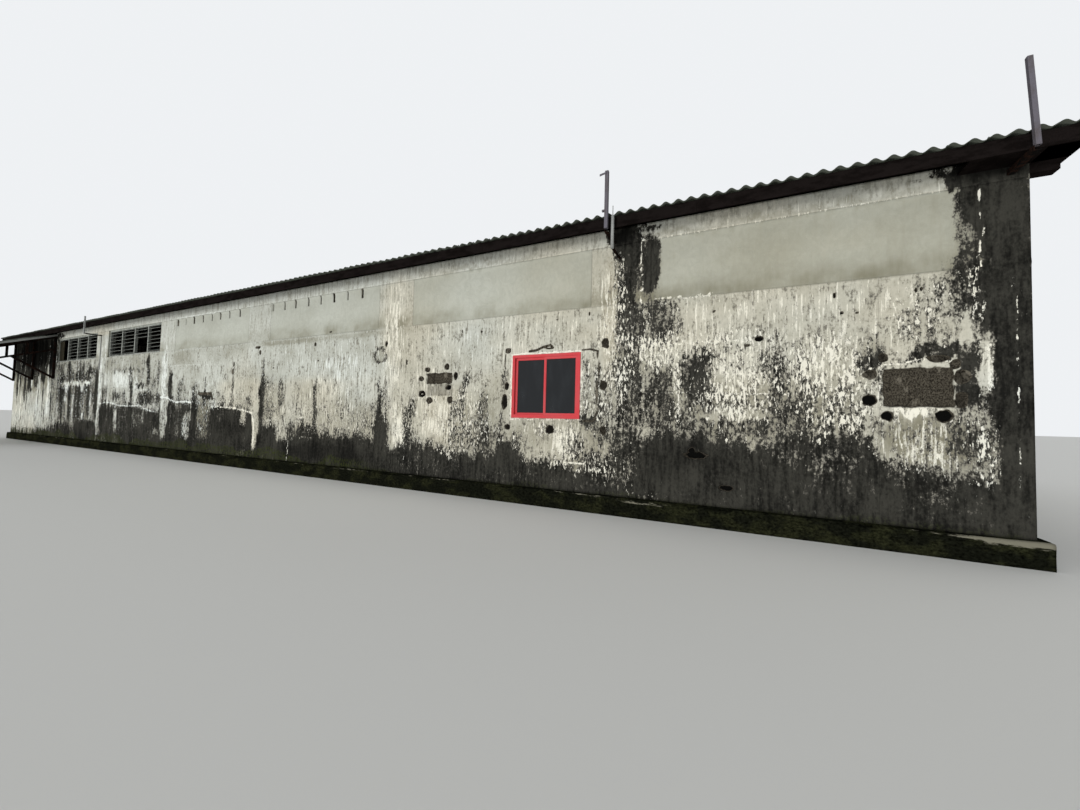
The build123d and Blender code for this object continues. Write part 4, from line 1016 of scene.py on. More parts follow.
def weathered_surface(
    name, main, stain, rough, scales, metallic=0.0, speckle=0.5, depth=0.002, gloss=0.0, under=None
):
    """A finish with patches of stain and fine grain, for boards, sheets and steel.

    scales are the size of the patches, the size of the grain, and how many times as wide as tall the
    patches are; under is the colour of the faces that look down: painted shade of the undersides,
    and dirt that no rain washes."""
    material, tree, shader = new_material(name)
    place = add(tree, "TexCoord").outputs["Object"]
    patch_size, grain_size, patch_shape = scales
    noises = []
    for shape, size, detail, uneven in (
        (patch_shape, patch_size, 5, 0.66), (1, grain_size, 3, 0.5)
    ):
        spot = add(tree, "Mapping", {"Vector": place, "Scale": (1, 1, shape)}).outputs[0]
        inputs = {"Vector": spot, "Scale": 1 / size, "Detail": detail, "Roughness": uneven}
        noises.append(add(tree, "TexNoise", inputs).outputs["Fac"])
    patches, grain = noises
    inputs = {"Value": patches, "From Min": 0.42, "From Max": 0.62, "To Max": speckle}
    worn = add(tree, "MapRange", inputs, interpolation_type="SMOOTHSTEP").outputs[0]
    inputs = {0: worn, 6: rgba(main), 7: rgba(stain)}
    mixed = add(tree, "Mix", inputs, data_type="RGBA").outputs[2]
    # Faces that look down are darkened: painted shade, and unwashed dirt
    if under is not None:
        normal = add(tree, "NewGeometry").outputs["True Normal"]
        height = add(tree, "SeparateXYZ", {0: normal}).outputs["Z"]
        inputs = {"Value": height, "From Min": 0.0, "From Max": -0.3}
        down = add(tree, "MapRange", inputs).outputs[0]
        inputs = {0: down, 6: mixed, 7: rgba(under)}
        mixed = add(tree, "Mix", inputs, data_type="RGBA").outputs[2]
    inputs = {"Value": grain, "From Min": 0.3, "From Max": 0.7, "To Min": 0.82, "To Max": 1.14}
    light = add(tree, "MapRange", inputs).outputs[0]
    hue = add(tree, "HueSaturation", {"Value": light, "Color": mixed}).outputs[0]
    inputs = {"Value": patches, "To Min": rough - 0.08, "To Max": min(1.0, rough + 0.1)}
    sheen = add(tree, "MapRange", inputs).outputs[0]
    rise = add(tree, "Math", {0: patches, 1: 1.5, 2: grain}, operation="MULTIPLY_ADD")
    inputs = {"Strength": 0.5, "Distance": depth, "Height": rise.outputs[0]}
    bump = add(tree, "Bump", inputs).outputs[0]
    fill(tree, shader, {"Base Color": hue, "Roughness": sheen, "Normal": bump,
                        "Metallic": metallic, "Specular IOR Level": gloss})
    return material


# Sheets, boards, steel and the like: name, main colour (a setting or a hex value), colour of the
# stain, roughness, size of its patches and grain in metres with the patches' width over their
# height, other settings
SURFACES = {
    # Pressed fibre cement: matt and grey, darkened by algae in patches, paler where it flakes
    "sheet": ("pressed_fibre_cement", "sheet", "666A63", 0.9, (0.35, 0.012, 1.0),
              # under: the sheets' undersides darker, as painted shade and unwashed dirt
              {"depth": 0.003, "under": "4E524A"}),
    # Sawn softwood with old maroon gloss: dull, streaked along the grain, near-black as painted
    # shade of the eave
    "board": ("painted_softwood", "board", "0F0C0B", 0.8, (0.25, 0.01, 3.0), {"speckle": 0.8}),
    # Rolled steel with red-oxide primer: satin where paint is left, rough and brown with rust
    "steel": ("rusted_primed_steel", "steel", "33211A", 0.75, (0.09, 0.006, 1.0),
              {"speckle": 0.71}),
    # Galvanised steel under faded grey paint, with rust breaking through in patches
    "post": ("faded_paint_on_steel", "post", "56504F", 0.6, (0.12, 0.006, 0.5), {"speckle": 0.68}),
    # Hot-dip galvanised steel: dull grey metal, its cloudy spangle drawn near 30 mm to show
    "zinc": ("galvanised_steel", "galvanised", "A5A7A6", 0.55, (0.03, 0.005, 1.0),
             {"metallic": 0.35, "depth": 0.0005, "gloss": 0.5}),
    # Powder-coated aluminium: an even satin skin, so only faint dust breaks its colour
    "red": ("powder_coated_aluminium", "red", "B9585A", 0.42, (0.25, 0.004, 1.0),
            {"speckle": 0.35, "depth": 0.0003, "gloss": 0.5}),
    # Weathered hardwood with grey paint: dry, streaked along the blades
    "louvre": ("weathered_louvre_wood", "louvre", "6C6E68", 0.8, (0.12, 0.008, 2.0),
               {"speckle": 0.72}),
    # The same hardwood where rain never reaches: dull and near-black with dust and mould, and with
    # painted shade under and between the blades
    "blade": ("dirty_louvre_wood", "blade", "1B1C1A", 0.9, (0.1, 0.008, 2.0), {"speckle": 0.8}),
    # Pressed steel sheet with faded gloss paint: satin, and brown with rust in patches
    "door": ("faded_paint_on_sheet_steel", "door", "6E5A4C", 0.6, (0.3, 0.006, 0.5),
             {"gloss": 0.2}),
    # Old plywood left bare: olive-brown, matt, streaked by rain
    "plywood": ("weathered_plywood", "3E3B30", "2A2821", 0.9, (0.15, 0.008, 0.4), {"speckle": 0.8}),
    # Moulded rubber gasket: black and dull
    "rubber": ("moulded_rubber", "161616", "262626", 0.75, (0.05, 0.004, 1.0),
               {"depth": 0.0002, "gloss": 0.2}),
    # Cast concrete that never dries: rough, blackened by damp, with moss in its hollows
    "concrete": ("damp_cast_concrete", "191A13", "33372A", 0.95, (0.22, 0.015, 1.0),
                 {"speckle": 0.6, "depth": 0.01}),
}


def mossy_concrete():
    """Cast concrete at the walls' wet foot: black and olive, its top edge pale in broken patches:
    chips, and a painted highlight along the edge.

    Pores of 2 to 5 mm are drawn near 25 mm, so that they show."""
    material, tree, shader = new_material("mossy_cast_concrete")
    place = add(tree, "TexCoord").outputs["Object"]
    edge = add(tree, "Attribute", attribute_name="edge").outputs["Fac"]
    noises = []
    for stretch, scale in (((1, 1, 1.6), 2.4), ((1, 1, 1.5), 22), ((0.45, 1, 2.5), 15)):
        spot = add(tree, "Mapping", {"Vector": place, "Scale": stretch}).outputs[0]
        inputs = {"Vector": spot, "Scale": scale, "Detail": 6, "Roughness": 0.7}
        noises.append(add(tree, "TexNoise", inputs).outputs["Fac"])
    patches, grain, chips = noises
    inputs = {"Value": patches, "From Min": 0.44, "From Max": 0.6}
    mossy = add(tree, "MapRange", inputs, interpolation_type="SMOOTHSTEP").outputs[0]
    inputs = {0: mossy, 6: rgba("0E0F0A"), 7: rgba("1B1C11")}
    damp = add(tree, "Mix", inputs, data_type="RGBA").outputs[2]
    inputs = {"Value": grain, "From Min": 0.36, "From Max": 0.66, "To Min": 0.3, "To Max": 2.7}
    light = add(tree, "MapRange", inputs).outputs[0]
    damp = add(tree, "HueSaturation", {"Value": light, "Color": damp}).outputs[0]
    broken = add(tree, "Math", {0: edge, 1: chips}, operation="SUBTRACT").outputs[0]
    inputs = {"Value": broken, "From Min": -0.03, "From Max": 0.12, "To Max": 0.9}
    pale = add(tree, "MapRange", inputs, interpolation_type="SMOOTHSTEP").outputs[0]
    inputs = {0: pale, 6: damp, 7: rgba("7E7B6C")}
    surface = add(tree, "Mix", inputs, data_type="RGBA").outputs[2]
    bump = add(tree, "Bump", {"Strength": 0.8, "Distance": 0.015, "Height": grain})
    fill(tree, shader, {"Base Color": surface, "Normal": bump.outputs[0], "Roughness": 0.95,
                        "Specular IOR Level": 0.0})
    return material


def dusty_glass(tint):
    """Float glass, near-black: a dark tint, and painted shade of the unlit hall behind it; smooth
    and glossy, dulled in streaks by dust.
    """
    material, tree, shader = new_material("tinted_float_glass")
    place = add(tree, "TexCoord").outputs["Object"]
    spot = add(tree, "Mapping", {"Vector": place, "Scale": (1, 1, 0.3)}).outputs[0]
    smear = add(tree, "TexNoise", {"Vector": spot, "Scale": 7, "Detail": 4}).outputs["Fac"]
    inputs = {"Value": smear, "From Min": 0.35, "From Max": 0.75, "To Min": 0.03, "To Max": 0.16}
    sheen = add(tree, "MapRange", inputs).outputs[0]
    inputs = {"Value": smear, "From Min": 0.45, "From Max": 0.8, "To Max": 0.12}
    dust = add(tree, "MapRange", inputs).outputs[0]
    inputs = {0: dust, 6: rgba(tint), 7: rgba("4A5054")}
    film = add(tree, "Mix", inputs, data_type="RGBA").outputs[2]
    fill(tree, shader, {"Base Color": film, "Roughness": sheen, "Specular IOR Level": 0.35})
    return material


def made_finish(name):
    """Makes the material of a finish in the scene's colours."""
    colours = bpy.context.scene.hall_colours
    if name == "render":
        pale, worn = colours.render_cool, colours.render_warm
        return weathered_render("limewashed_cement_render", pale, worn, colours, False)
    if name == "infill":
        return weathered_render("trowelled_cement_render", colours.infill, "A9A694", colours, True)
    if name == "mossy":
        return mossy_concrete()
    if name == "glass":
        return dusty_glass(colours.glass)
    label, main, stain, rough, scales, others = SURFACES[name]
    return weathered_surface(label, getattr(colours, main, main), stain, rough, scales, **others)


MADE = {}


def finish(name):
    """A material by its finish, made the first time it is asked for."""
    made = bpy.data.materials.get(MADE.get(name, ""))
    if made is None:
        made = made_finish(name)
        MADE[name] = made.name
    return made


# Operators
class HALL_OT_front_wall(bpy.types.Operator):
    """Front wall: seven bays, the piers between the high windows and the ring beam"""

    bl_idname = "hall.front_wall"
    bl_label = "Front wall"

    def execute(self, context):
        sizes = context.scene.hall_walls
        window_low, window_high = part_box("window_frame")
        opening = (window_low.x, window_high.x, window_low.z, window_high.z)
        for bay in range(1, BAYS + 1):
            node = f"front_wall_bay_{bay}"
            low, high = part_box(node)
            holes = [
                (x, z, half_x / 100, half_z / 100) for x, z, half_x, half_z, *others in HOLES
                if low.x < x < high.x and max(half_x, half_z) > 2
            ]
            squares = [h for h in HACKED if low.x < h[0] < high.x]
            fine_x = [(h[0] - h[2] - 0.02, h[0] + h[2] + 0.02) for h in holes]
            fine_z = [(h[1] - h[3] - 0.02, h[1] + h[3] + 0.02) for h in holes]
            fine_x += [(h[0] - 0.03, h[1] + 0.03) for h in squares]
            fine_z += [(h[2] - 0.03, h[3] + 0.03) for h in squares]
            step = sizes.fine_step if squares else sizes.mesh_step / 2
            openings = [opening] if low.x < opening[0] < high.x else []
            fine = ((fine_x, step), (fine_z, step))
            self.panel(node, node, low, high, sizes, openings=openings, fine=fine)
        for number, (low, high) in enumerate(solids_of("front_piers"), start=1):
            self.panel(f"front_pier_{number}", "front_piers", low, high, sizes)
        low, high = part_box("front_ring_beam")
        self.panel("front_ring_beam", "front_ring_beam", low, high, sizes, 1.5)
        return {"FINISHED"}

    def panel(self, name, node, low, high, sizes, along=1.0, **others):
        """One panel; along is how much wider its mesh is along the wall than up it."""
        panel = wall_panel(
            f"{name}_render", "front", low, high, (along * sizes.mesh_step, sizes.mesh_step),
            lambda x, z: front_relief(x, z, sizes), front_marks, **others,
        )
        put_up(panel, "render", "weathered_render", node)


def solids_of(node):
    """Lowest and highest corner of each separate solid of a node, from left to right."""
    work = bmesh.new()
    work.from_mesh(frame["nodes"][node].data)
    bmesh.ops.remove_doubles(work, verts=work.verts, dist=1e-5)
    left_to_do = set(work.verts)
    boxes = []
    while left_to_do:
        stack = [left_to_do.pop()]
        group = []
        while stack:
            vert = stack.pop()
            group.append(vert.co.copy())
            others = {edge.other_vert(vert) for edge in vert.link_edges} & left_to_do
            left_to_do -= others
            stack += others
        boxes.append([
            Vector([pick(co[axis] for co in group) for axis in range(3)]) for pick in (min, max)
        ])
    work.free()
    return sorted(boxes, key=lambda box: (round(box[0].x, 4), round(box[0].z, 4)))


class HALL_OT_infill_panels(bpy.types.Operator):
    """Trowelled render that closes the high windows without louvres, front and rear"""

    bl_idname = "hall.infill_panels"
    bl_label = "Walled-up windows"

    def execute(self, context):
        sizes = context.scene.hall_walls
        for number, (low, high) in enumerate(solids_of("front_infill_panels"), start=1):
            slots = [(x - 1.3 * half, x + 1.3 * half) for x, half, share in SLOT_XS]
            slots = [span for span in slots if low.x < span[0] and span[1] < high.x]
            fine = ((slots, 0.008), ([(SLOT_FOOT - 0.02, SLOT_FOOT + 0.02)], 0.01))
            panel = wall_panel(
                f"front_infill_{number}_render", "front", low, high, (sizes.mesh_step,) * 2,
                lambda x, z: self.flush(x, z, low, high, sizes), front_marks, fine=fine,
            )
            put_up(panel, "infill", "infill_render", "front_infill_panels")
        rear_panels("rear_infill_panels", "rear_infill", "infill", "infill_render", sizes, 0.6)
        return {"FINISHED"}

    def flush(self, x, z, low, high, sizes):
        """Surface of a panel, trowelled out to the piers at its sides and head."""
        recess = low.y + HALF_DEPTH
        inside = np.minimum.reduce([x - low.x, high.x - x, 1.6 * (high.z - z)])
        feather = recess * (0.35 + 0.6 * ramp(-inside, -0.12, 0.0))
        return 0.7 * front_relief(x, z, sizes) + feather


def rear_panels(node, name, finish_name, slot, sizes, share=1.0):
    """Panels of the rear wall, one for each solid of a node; share is how much they wave."""
    for number, (low, high) in enumerate(solids_of(node), start=1):
        panel = wall_panel(
            f"{name}_{number}_render", "rear", low, high, (sizes.far_step,) * 2,
            lambda u, z: share * plain_relief(u, z, sizes, REAR_SEED),
            lambda u, z: plain_marks(u, z, REAR_SEED, mouldy=0.6),
        )
        put_up(panel, finish_name, slot, node)


class HALL_OT_far_walls(bpy.types.Operator):
    """Rear wall with its piers and ring beam, and the two gables"""

    bl_idname = "hall.far_walls"
    bl_label = "Rear wall and gables"

    def execute(self, context):
        sizes = context.scene.hall_walls
        for node in ("rear_wall", "rear_piers", "rear_ring_beam"):
            rear_panels(node, node, "render", "weathered_render", sizes)
        self.gable("right", sizes, RIGHT_SEED, mouldy=1.6)
        self.gable("left", sizes, LEFT_SEED, mouldy=0.7)
        return {"FINISHED"}

    def gable(self, side, sizes, seed, mouldy):
        node = f"{side}_gable_wall"
        low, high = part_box(node)
        left, right, inner, outer = wall_span(side, low, high)
        eave = min(
            v.co.z for v in frame["nodes"][node].data.vertices
            if abs(v.co.y) > HALF_DEPTH - 0.001 and v.co.z > WALL_TOP + 0.01
        )

        def top(u):
            return high.z + (eave - high.z) * np.abs(u) / HALF_DEPTH

        wall_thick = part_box("front_ring_beam")[1].y + HALF_DEPTH
        openings = [
            (left, left + wall_thick, low.z, WALL_TOP),
            (right - wall_thick, right, low.z, WALL_TOP),
        ]
        if side == "left":
            door_low, door_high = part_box("door_frame")
            openings.append((-door_high.y, -door_low.y, door_low.z, door_high.z))
        panel = wall_panel(
            f"{node}_render", side, low, high, (sizes.far_step * 0.8,) * 2,
            lambda u, z: plain_relief(u, z, sizes, seed),
            lambda u, z: self.corner_marks(u, z, side, seed, mouldy), openings, top,
        )
        put_up(panel, "render", "weathered_render", node)

    def corner_marks(self, u, z, side, seed, mouldy):
        """Marks of a gable; at the right front corner the black runs up to the eave."""
        marks = plain_marks(u, z, seed, mouldy)
        if side == "right":
            near = ramp(-u + 0.3 * (cloud(u, z, 0.2, 0.5, seed + 11) - 0.5), 5.3, 5.7)
            marks["mould"] = marks["mould"] + near * (1.15 - marks["mould"])
            marks["flecks"] = marks["flecks"] * (1 - near)
        return marks


def lay_sheet(build, sizes, waves, start, place, lower, upper, lift):
    """One corrugated sheet; place turns (across, up the slope, off the slope) into a point."""
    half = (sizes.wave_depth - sizes.thick) / 2
    foot, head = (lower, lift[0]), (upper, lift[1])
    section = ((*foot, 0.0), (*head, 0.0), (*head, sizes.thick), (*foot, sizes.thick))
    loops = []
    for across in np.linspace(0, waves * sizes.wave, waves * POINTS_A_WAVE + 1):
        rise = half - half * math.cos(2 * math.pi * across / sizes.wave)
        loops.append([place(start + across, run, rise + off + up) for run, up, off in section])
    build.loops(loops, smooth=True)


def sheet_slope(low, high, depth):
    """Slope of a corrugated sheet that just fills a box."""
    tall, deep = high.z - low.z, high.y - low.y
    slope = math.atan2(tall, deep)
    for _ in range(8):
        slope = math.atan2(tall - depth * math.cos(slope), deep - depth * math.sin(slope))
    return slope


def lapped_sheets(node, sign, rows, seed, sizes):
    """Rows of lapped sheets that fill a node's box; sign is the side that they fall to."""
    low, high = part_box(node)
    slope = sheet_slope(low, high, sizes.wave_depth)
    outer = (high.y if sign > 0 else -low.y) - sizes.wave_depth * math.sin(slope)
    inner = low.y if sign > 0 else -high.y
    run = (outer - inner) / math.cos(slope)
    base = Vector((0, sign * outer, low.z))
    up = Vector((0, -sign * math.cos(slope), math.sin(slope)))
    off = Vector((0, sign * math.sin(slope), math.cos(slope)))

    def place(x, along, away):
        return Vector((x, 0, 0)) + base + up * along + off * away

    build = Build()
    waves = round((high.x - low.x) / sizes.wave)
    pitch = (run - sizes.lap) / rows
    rng = np.random.default_rng(seed)
    first = column = 0
    while first < waves:
        count = min(sizes.waves_a_sheet + 1, waves - first)
        for row in range(rows):
            shift = rng.uniform(0.0, 0.02) if row == 0 else rng.uniform(-0.01, 0.01)
            lower = row * pitch + shift
            upper = min((row + 1) * pitch + sizes.lap, run)
            side = (sizes.thick + 0.0005) * (column % 2)
            lift = (side + (sizes.thick + 0.0015 if row else 0.0), side)
            lay_sheet(build, sizes, count, low.x + first * sizes.wave, place, lower, upper, lift)
        first += sizes.waves_a_sheet
        column += 1
    lines = max(3, round(run / BOLTS_APART) + 1)
    for along in np.linspace(sizes.lap, run - sizes.lap, lines):
        for wave in range(0, waves, 2):
            at = place(low.x + (wave + 0.5) * sizes.wave, along, sizes.wave_depth + sizes.thick)
            build.dome(at, off, sizes.bolt, sizes.bolt, sides=6)
    return build.finish(f"{node}_lapped")


class HALL_OT_roof_sheets(bpy.types.Operator):
    """Rows of lapped corrugated sheets on both slopes and the canopy, their bolts, the ridge cap"""

    bl_idname = "hall.roof_sheets"
    bl_label = "Roof sheets"

    def execute(self, context):
        sizes = context.scene.hall_roof
        for node, sign, rows, seed in (
            ("front_roof_sheets", -1, sizes.rows, 71),
            ("rear_roof_sheets", 1, sizes.rows, 72),
            ("canopy_sheets", -1, 2, 73),
        ):
            piece = lapped_sheets(node, sign, rows, seed, sizes)
            put_up(piece, "sheet", "fibre_cement", node)
        self.ridge(sizes)
        return {"FINISHED"}

    def ridge(self, sizes):
        """Ridge caps of about a metre, each lapped over the next, with a roll along the top."""
        low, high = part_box("ridge_cap")
        slope = sheet_slope(*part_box("rear_roof_sheets"), sizes.wave_depth)
        wing, thick, roll, cap_long, cap_lap = high.y, 0.010, 0.055, 1.12, 0.06
        peak = high.z - roll
        outline = []
        for radius, drop in ((roll, 0.0), (roll - thick, thick)):
            arc = []
            for turn in np.linspace(math.pi, 0, 11):
                arc.append((radius * math.cos(turn), peak + radius * math.sin(turn)))
            edge = peak - (wing - roll) * math.tan(slope) + 0.002
            side = [(-wing, edge - drop)] + arc + [(wing, edge - drop)]
            outline += side if drop == 0.0 else side[::-1]
        build = Build()
        count = round((high.x - low.x) / cap_long)
        long = (high.x - low.x) / count
        for i in range(count):
            left = low.x + i * long
            right = min(left + long + cap_lap, high.x)
            lift = Vector((0, 0, -0.004 * (i % 2)))
            build.prism(outline, Vector((left, 0, 0)) + lift, Vector((right, 0, 0)) + lift, Y, Z)
            for side in (-1, 1):
                at = Vector(((left + right) / 2, side * 0.8 * wing, 0))
                at.z = peak - (0.8 * wing - roll) * math.tan(slope) + 0.002
                build.dome(at, (0, side * math.sin(slope), math.cos(slope)), sizes.bolt, sizes.bolt)
        put_up(build.finish("ridge_cap_lapped"), "sheet", "fibre_cement", "ridge_cap")


class HALL_OT_plinths(bpy.types.Operator):
    """Plinth round the foot of the walls, its edge worn and chipped"""

    bl_idname = "hall.plinths"
    bl_label = "Plinths"

    def execute(self, context):
        for number, side in enumerate(("front", "rear", "left", "right")):
            node = f"{side}_plinth"
            low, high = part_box(node)
            piece = self.plinth(f"{node}_worn", side, low, high, PLINTH_SEED + 20 * number)
            put_up(piece, "mossy", "bare_concrete", node)
        return {"FINISHED"}

    def plinth(self, name, side, low, high, seed):
        """A bar along one side, worn most where its face turns into its ledge."""
        left, right, inner, outer = wall_span(side, low, high)
        (ax, ay), (ox, oy) = SIDES[side]
        ledge = HALF_LENGTH if side in ("left", "right") else HALF_DEPTH
        top = high.z
        face = [(outer, z) for z in np.linspace(low.z, top - 0.03, 9)]
        drops = ((0.004, 0.015), (0.012, 0.004), (0.03, 0))
        round_edge = [(outer - back, top - drop) for back, drop in drops]
        flat = [(out, top) for out in np.linspace(outer - 0.045, ledge + 0.004, 4)]
        outline = face + round_edge + flat + [(inner, top), (inner, low.z)]
        step = 0.045 if side == "front" else 0.09
        lines = lines_between(left, right, step)
        along = np.repeat(lines, len(outline))
        outs = np.tile([out for out, z in outline], len(lines))
        tall = np.tile([z for out, z in outline], len(lines))
        near_edge = bell(np.hypot(outs - outer, tall - top), 0.07)
        chips = ramp(cloud(along, tall, 0.3, 0.3, seed, 4), 0.5, 0.72)
        worn = 0.012 * cloud(along, 3 * tall, 0.25, 0.4, seed + 5, 4) + 0.03 * chips * near_edge
        on_face = (outs > outer - 0.02).astype(float)
        on_top = (tall > top - 0.02) * (outs > ledge + 0.006) * (outs < outer - 0.001)
        outs = outs - worn * on_face
        tall = tall - 0.8 * worn * on_top
        points = np.stack([along * ax + outs * ox, along * ay + outs * oy, tall], axis=-1)
        wet = cloud(along, tall, 1.3, 9.0, seed + 7, 3)
        # Pale along the top edge: chips, and a painted highlight where the face turns into the ledge
        edge = near_edge * (0.16 + 0.5 * wet)
        if side == "front":
            edge = edge + 0.3 * ramp(along, 16.4, 17.1) * near_edge
            edge = edge + 0.42 * stroke(along, tall, 12.95, 0.24, 0.45, 0.03)
            edge = edge + 0.2 * ramp(along, 16.2, 17.0) * ramp(tall, 0.0, 0.3)
        count = len(outline)
        rounded = len(face) + len(round_edge) + len(flat) - 1
        faces = faces_between(len(lines), count)
        smooth = [k < rounded for k in range(count)] * (len(lines) - 1) + [False, False]
        return mesh_object(name, points, faces, smooth, {"edge": edge})


class HALL_OT_fascia(bpy.types.Operator):
    """Fascia boards in lengths, with their joints and nails"""

    bl_idname = "hall.fascia"
    bl_label = "Fascia boards"

    board_long = 3.9

    def execute(self, context):
        rng = np.random.default_rng(74)
        build = Build()
        for low, high in solids_of("fascia_boards"):
            count = round((high.x - low.x) / self.board_long)
            cuts = [low.x + (high.x - low.x) * i / count for i in range(count + 1)]
            cuts[1:-1] = [cut + rng.uniform(-0.25, 0.25) for cut in cuts[1:-1]]
            for left, right in zip(cuts, cuts[1:]):
                drop = rng.uniform(0.0, 0.004)
                back = rng.uniform(0.0, 0.003) * (1 if low.y < 0 else -1)
                build.box(
                    (left + 0.002, low.y + max(back, 0), low.z - drop),
                    (right - 0.002, high.y + min(back, 0), high.z - drop), 0.003,
                )
                out = -1 if low.y < 0 else 1
                face = low.y if low.y < 0 else high.y
                for x in (left + 0.04, (left + right) / 2, right - 0.04):
                    for z in (low.z + 0.04, high.z - 0.05):
                        build.dome((x, face + back, z - drop), (0, out, 0), 0.006, 0.003, 6)
        put_up(build.finish("fascia_boards_in_lengths"), "board", "maroon_board", "fascia_boards")
        self.soffit()
        return {"FINISHED"}

    def soffit(self):
        """Board that closes the eave past the right corner, resting on the beam's end."""
        stub_low, stub_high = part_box("corner_beam_stub")
        fascia_low, fascia_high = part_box("fascia_boards")
        board = Build()
        over_wall = (stub_low.x - 0.62, stub_low.y - 0.002)
        for left, back in (over_wall, (stub_low.x + 0.002, stub_high.y)):
            board.box(
                (left, fascia_low.y + 0.021, stub_high.z + 0.0005),
                (fascia_high.x, back, stub_high.z + 0.025), 0.002,
            )
        put_up(board.finish("eave_soffit_board"), "board", "maroon_board")


class HALL_OT_window(bpy.types.Operator):
    """Red sliding window: mitred frame, two sashes and their gaskets"""

    bl_idname = "hall.window"
    bl_label = "Sliding window"

    def execute(self, context):
        low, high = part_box("window_frame")
        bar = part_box("left_sash")[0].x - low.x
        front, back = low.y, high.y
        build = Build()
        build.mitred(
            low.x, high.x, low.z, high.z,
            ((0, front + 0.006), (0.004, front), (0.030, front), (0.034, front + 0.005),
             (bar - 0.003, front + 0.005), (bar, front + 0.008), (bar, back), (0, back)),
        )
        track_z = low.z + bar
        for y in (front + 0.012, (front + back) / 2 - 0.002, back - 0.012):
            ends = (low.x + bar, y - 0.0015, track_z), (high.x - bar, y + 0.0015, track_z + 0.012)
            build.box(*ends)
        put_up(build.finish("window_frame_mitred"), "red", "red_frame", "window_frame")
        for node in ("left_sash", "right_sash"):
            self.sash(node)
        return {"FINISHED"}

    def sash(self, node):
        low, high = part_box(node)
        panes = [box for box in solids_of("window_panes") if low.y < box[0].y < high.y]
        pane_low, pane_high = panes[0]
        bar = pane_low.x - low.x
        front, back = low.y, high.y
        build = Build()
        build.mitred(
            low.x, high.x, low.z, high.z,
            ((0, front + 0.003), (0.003, front), (bar - 0.014, front), (bar - 0.002, front + 0.009),
             (bar - 0.002, back - 0.006), (bar - 0.008, back), (0, back)),
        )
        put_up(build.finish(f"{node}_profile"), "red", "red_frame", node)
        gasket = Build()
        gasket.mitred(
            pane_low.x - 0.002, pane_high.x + 0.002, pane_low.z - 0.002, pane_high.z + 0.002,
            ((0, pane_low.y - 0.003), (0.007, pane_low.y - 0.001), (0.007, pane_high.y + 0.001),
             (0, pane_high.y + 0.003)),
        )
        put_up(gasket.finish(f"{node}_gasket"), "rubber", "red_frame")


class HALL_OT_louvres(bpy.types.Operator):
    """Louvre blades, dark with dirt and painted shade, with worn front edges, and the board over the
    first light
    """

    bl_idname = "hall.louvres"
    bl_label = "Louvre blades"

    thick = 0.008
    tilt = math.radians(35)

    def execute(self, context):
        rng = np.random.default_rng(75)
        frame_low, frame_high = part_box("front_louvre_frames")
        blades, lips = Build(), Build()
        boarded = frame_low.x + 1.0
        for low, high in solids_of("front_louvre_blades"):
            if high.x < boarded:
                continue
            self.blade(blades, lips, low, high, rng)
        # The blades take the dark finish, which is dirt and painted shade; their edges take the grey
        # paint
        put_up(blades.finish("louvre_blades"), "blade", "louvre_wood", "front_louvre_blades")
        put_up(lips.finish("louvre_blade_edges"), "louvre", "louvre_wood", "front_louvre_blades")
        bar = 0.055
        board = Build()
        board.box(
            (frame_low.x + bar, frame_low.y + 0.02, frame_low.z + bar),
            (frame_low.x + 0.5, frame_low.y + 0.032, frame_high.z - bar - 0.05), 0.001,
        )
        put_up(board.finish("louvre_light_board"), "plywood", "louvre_wood")
        return {"FINISHED"}

    def blade(self, blades, lips, low, high, rng):
        """One blade, its outer edge low, and the pale worn edge along it."""
        wide = (high.y - low.y - self.thick * math.sin(self.tilt)) / math.cos(self.tilt)
        turn = self.tilt + rng.uniform(-0.03, 0.03)
        across = (0, math.cos(turn), math.sin(turn))
        up = (0, -math.sin(turn), math.cos(turn))
        edge = self.thick
        outline = ((edge, 0), (wide, 0), (wide, edge), (edge, edge))
        foot = low.y + self.thick * math.sin(self.tilt)
        ends = (low.x + 0.003, foot, low.z), (high.x - 0.003, foot, low.z)
        blades.prism(outline, *ends, across, up)
        lip = ((0, 0.002), (0.002, 0), (edge, 0), (edge, edge), (0.002, edge), (0, edge - 0.002))
        lips.prism(lip, *ends, across, up)


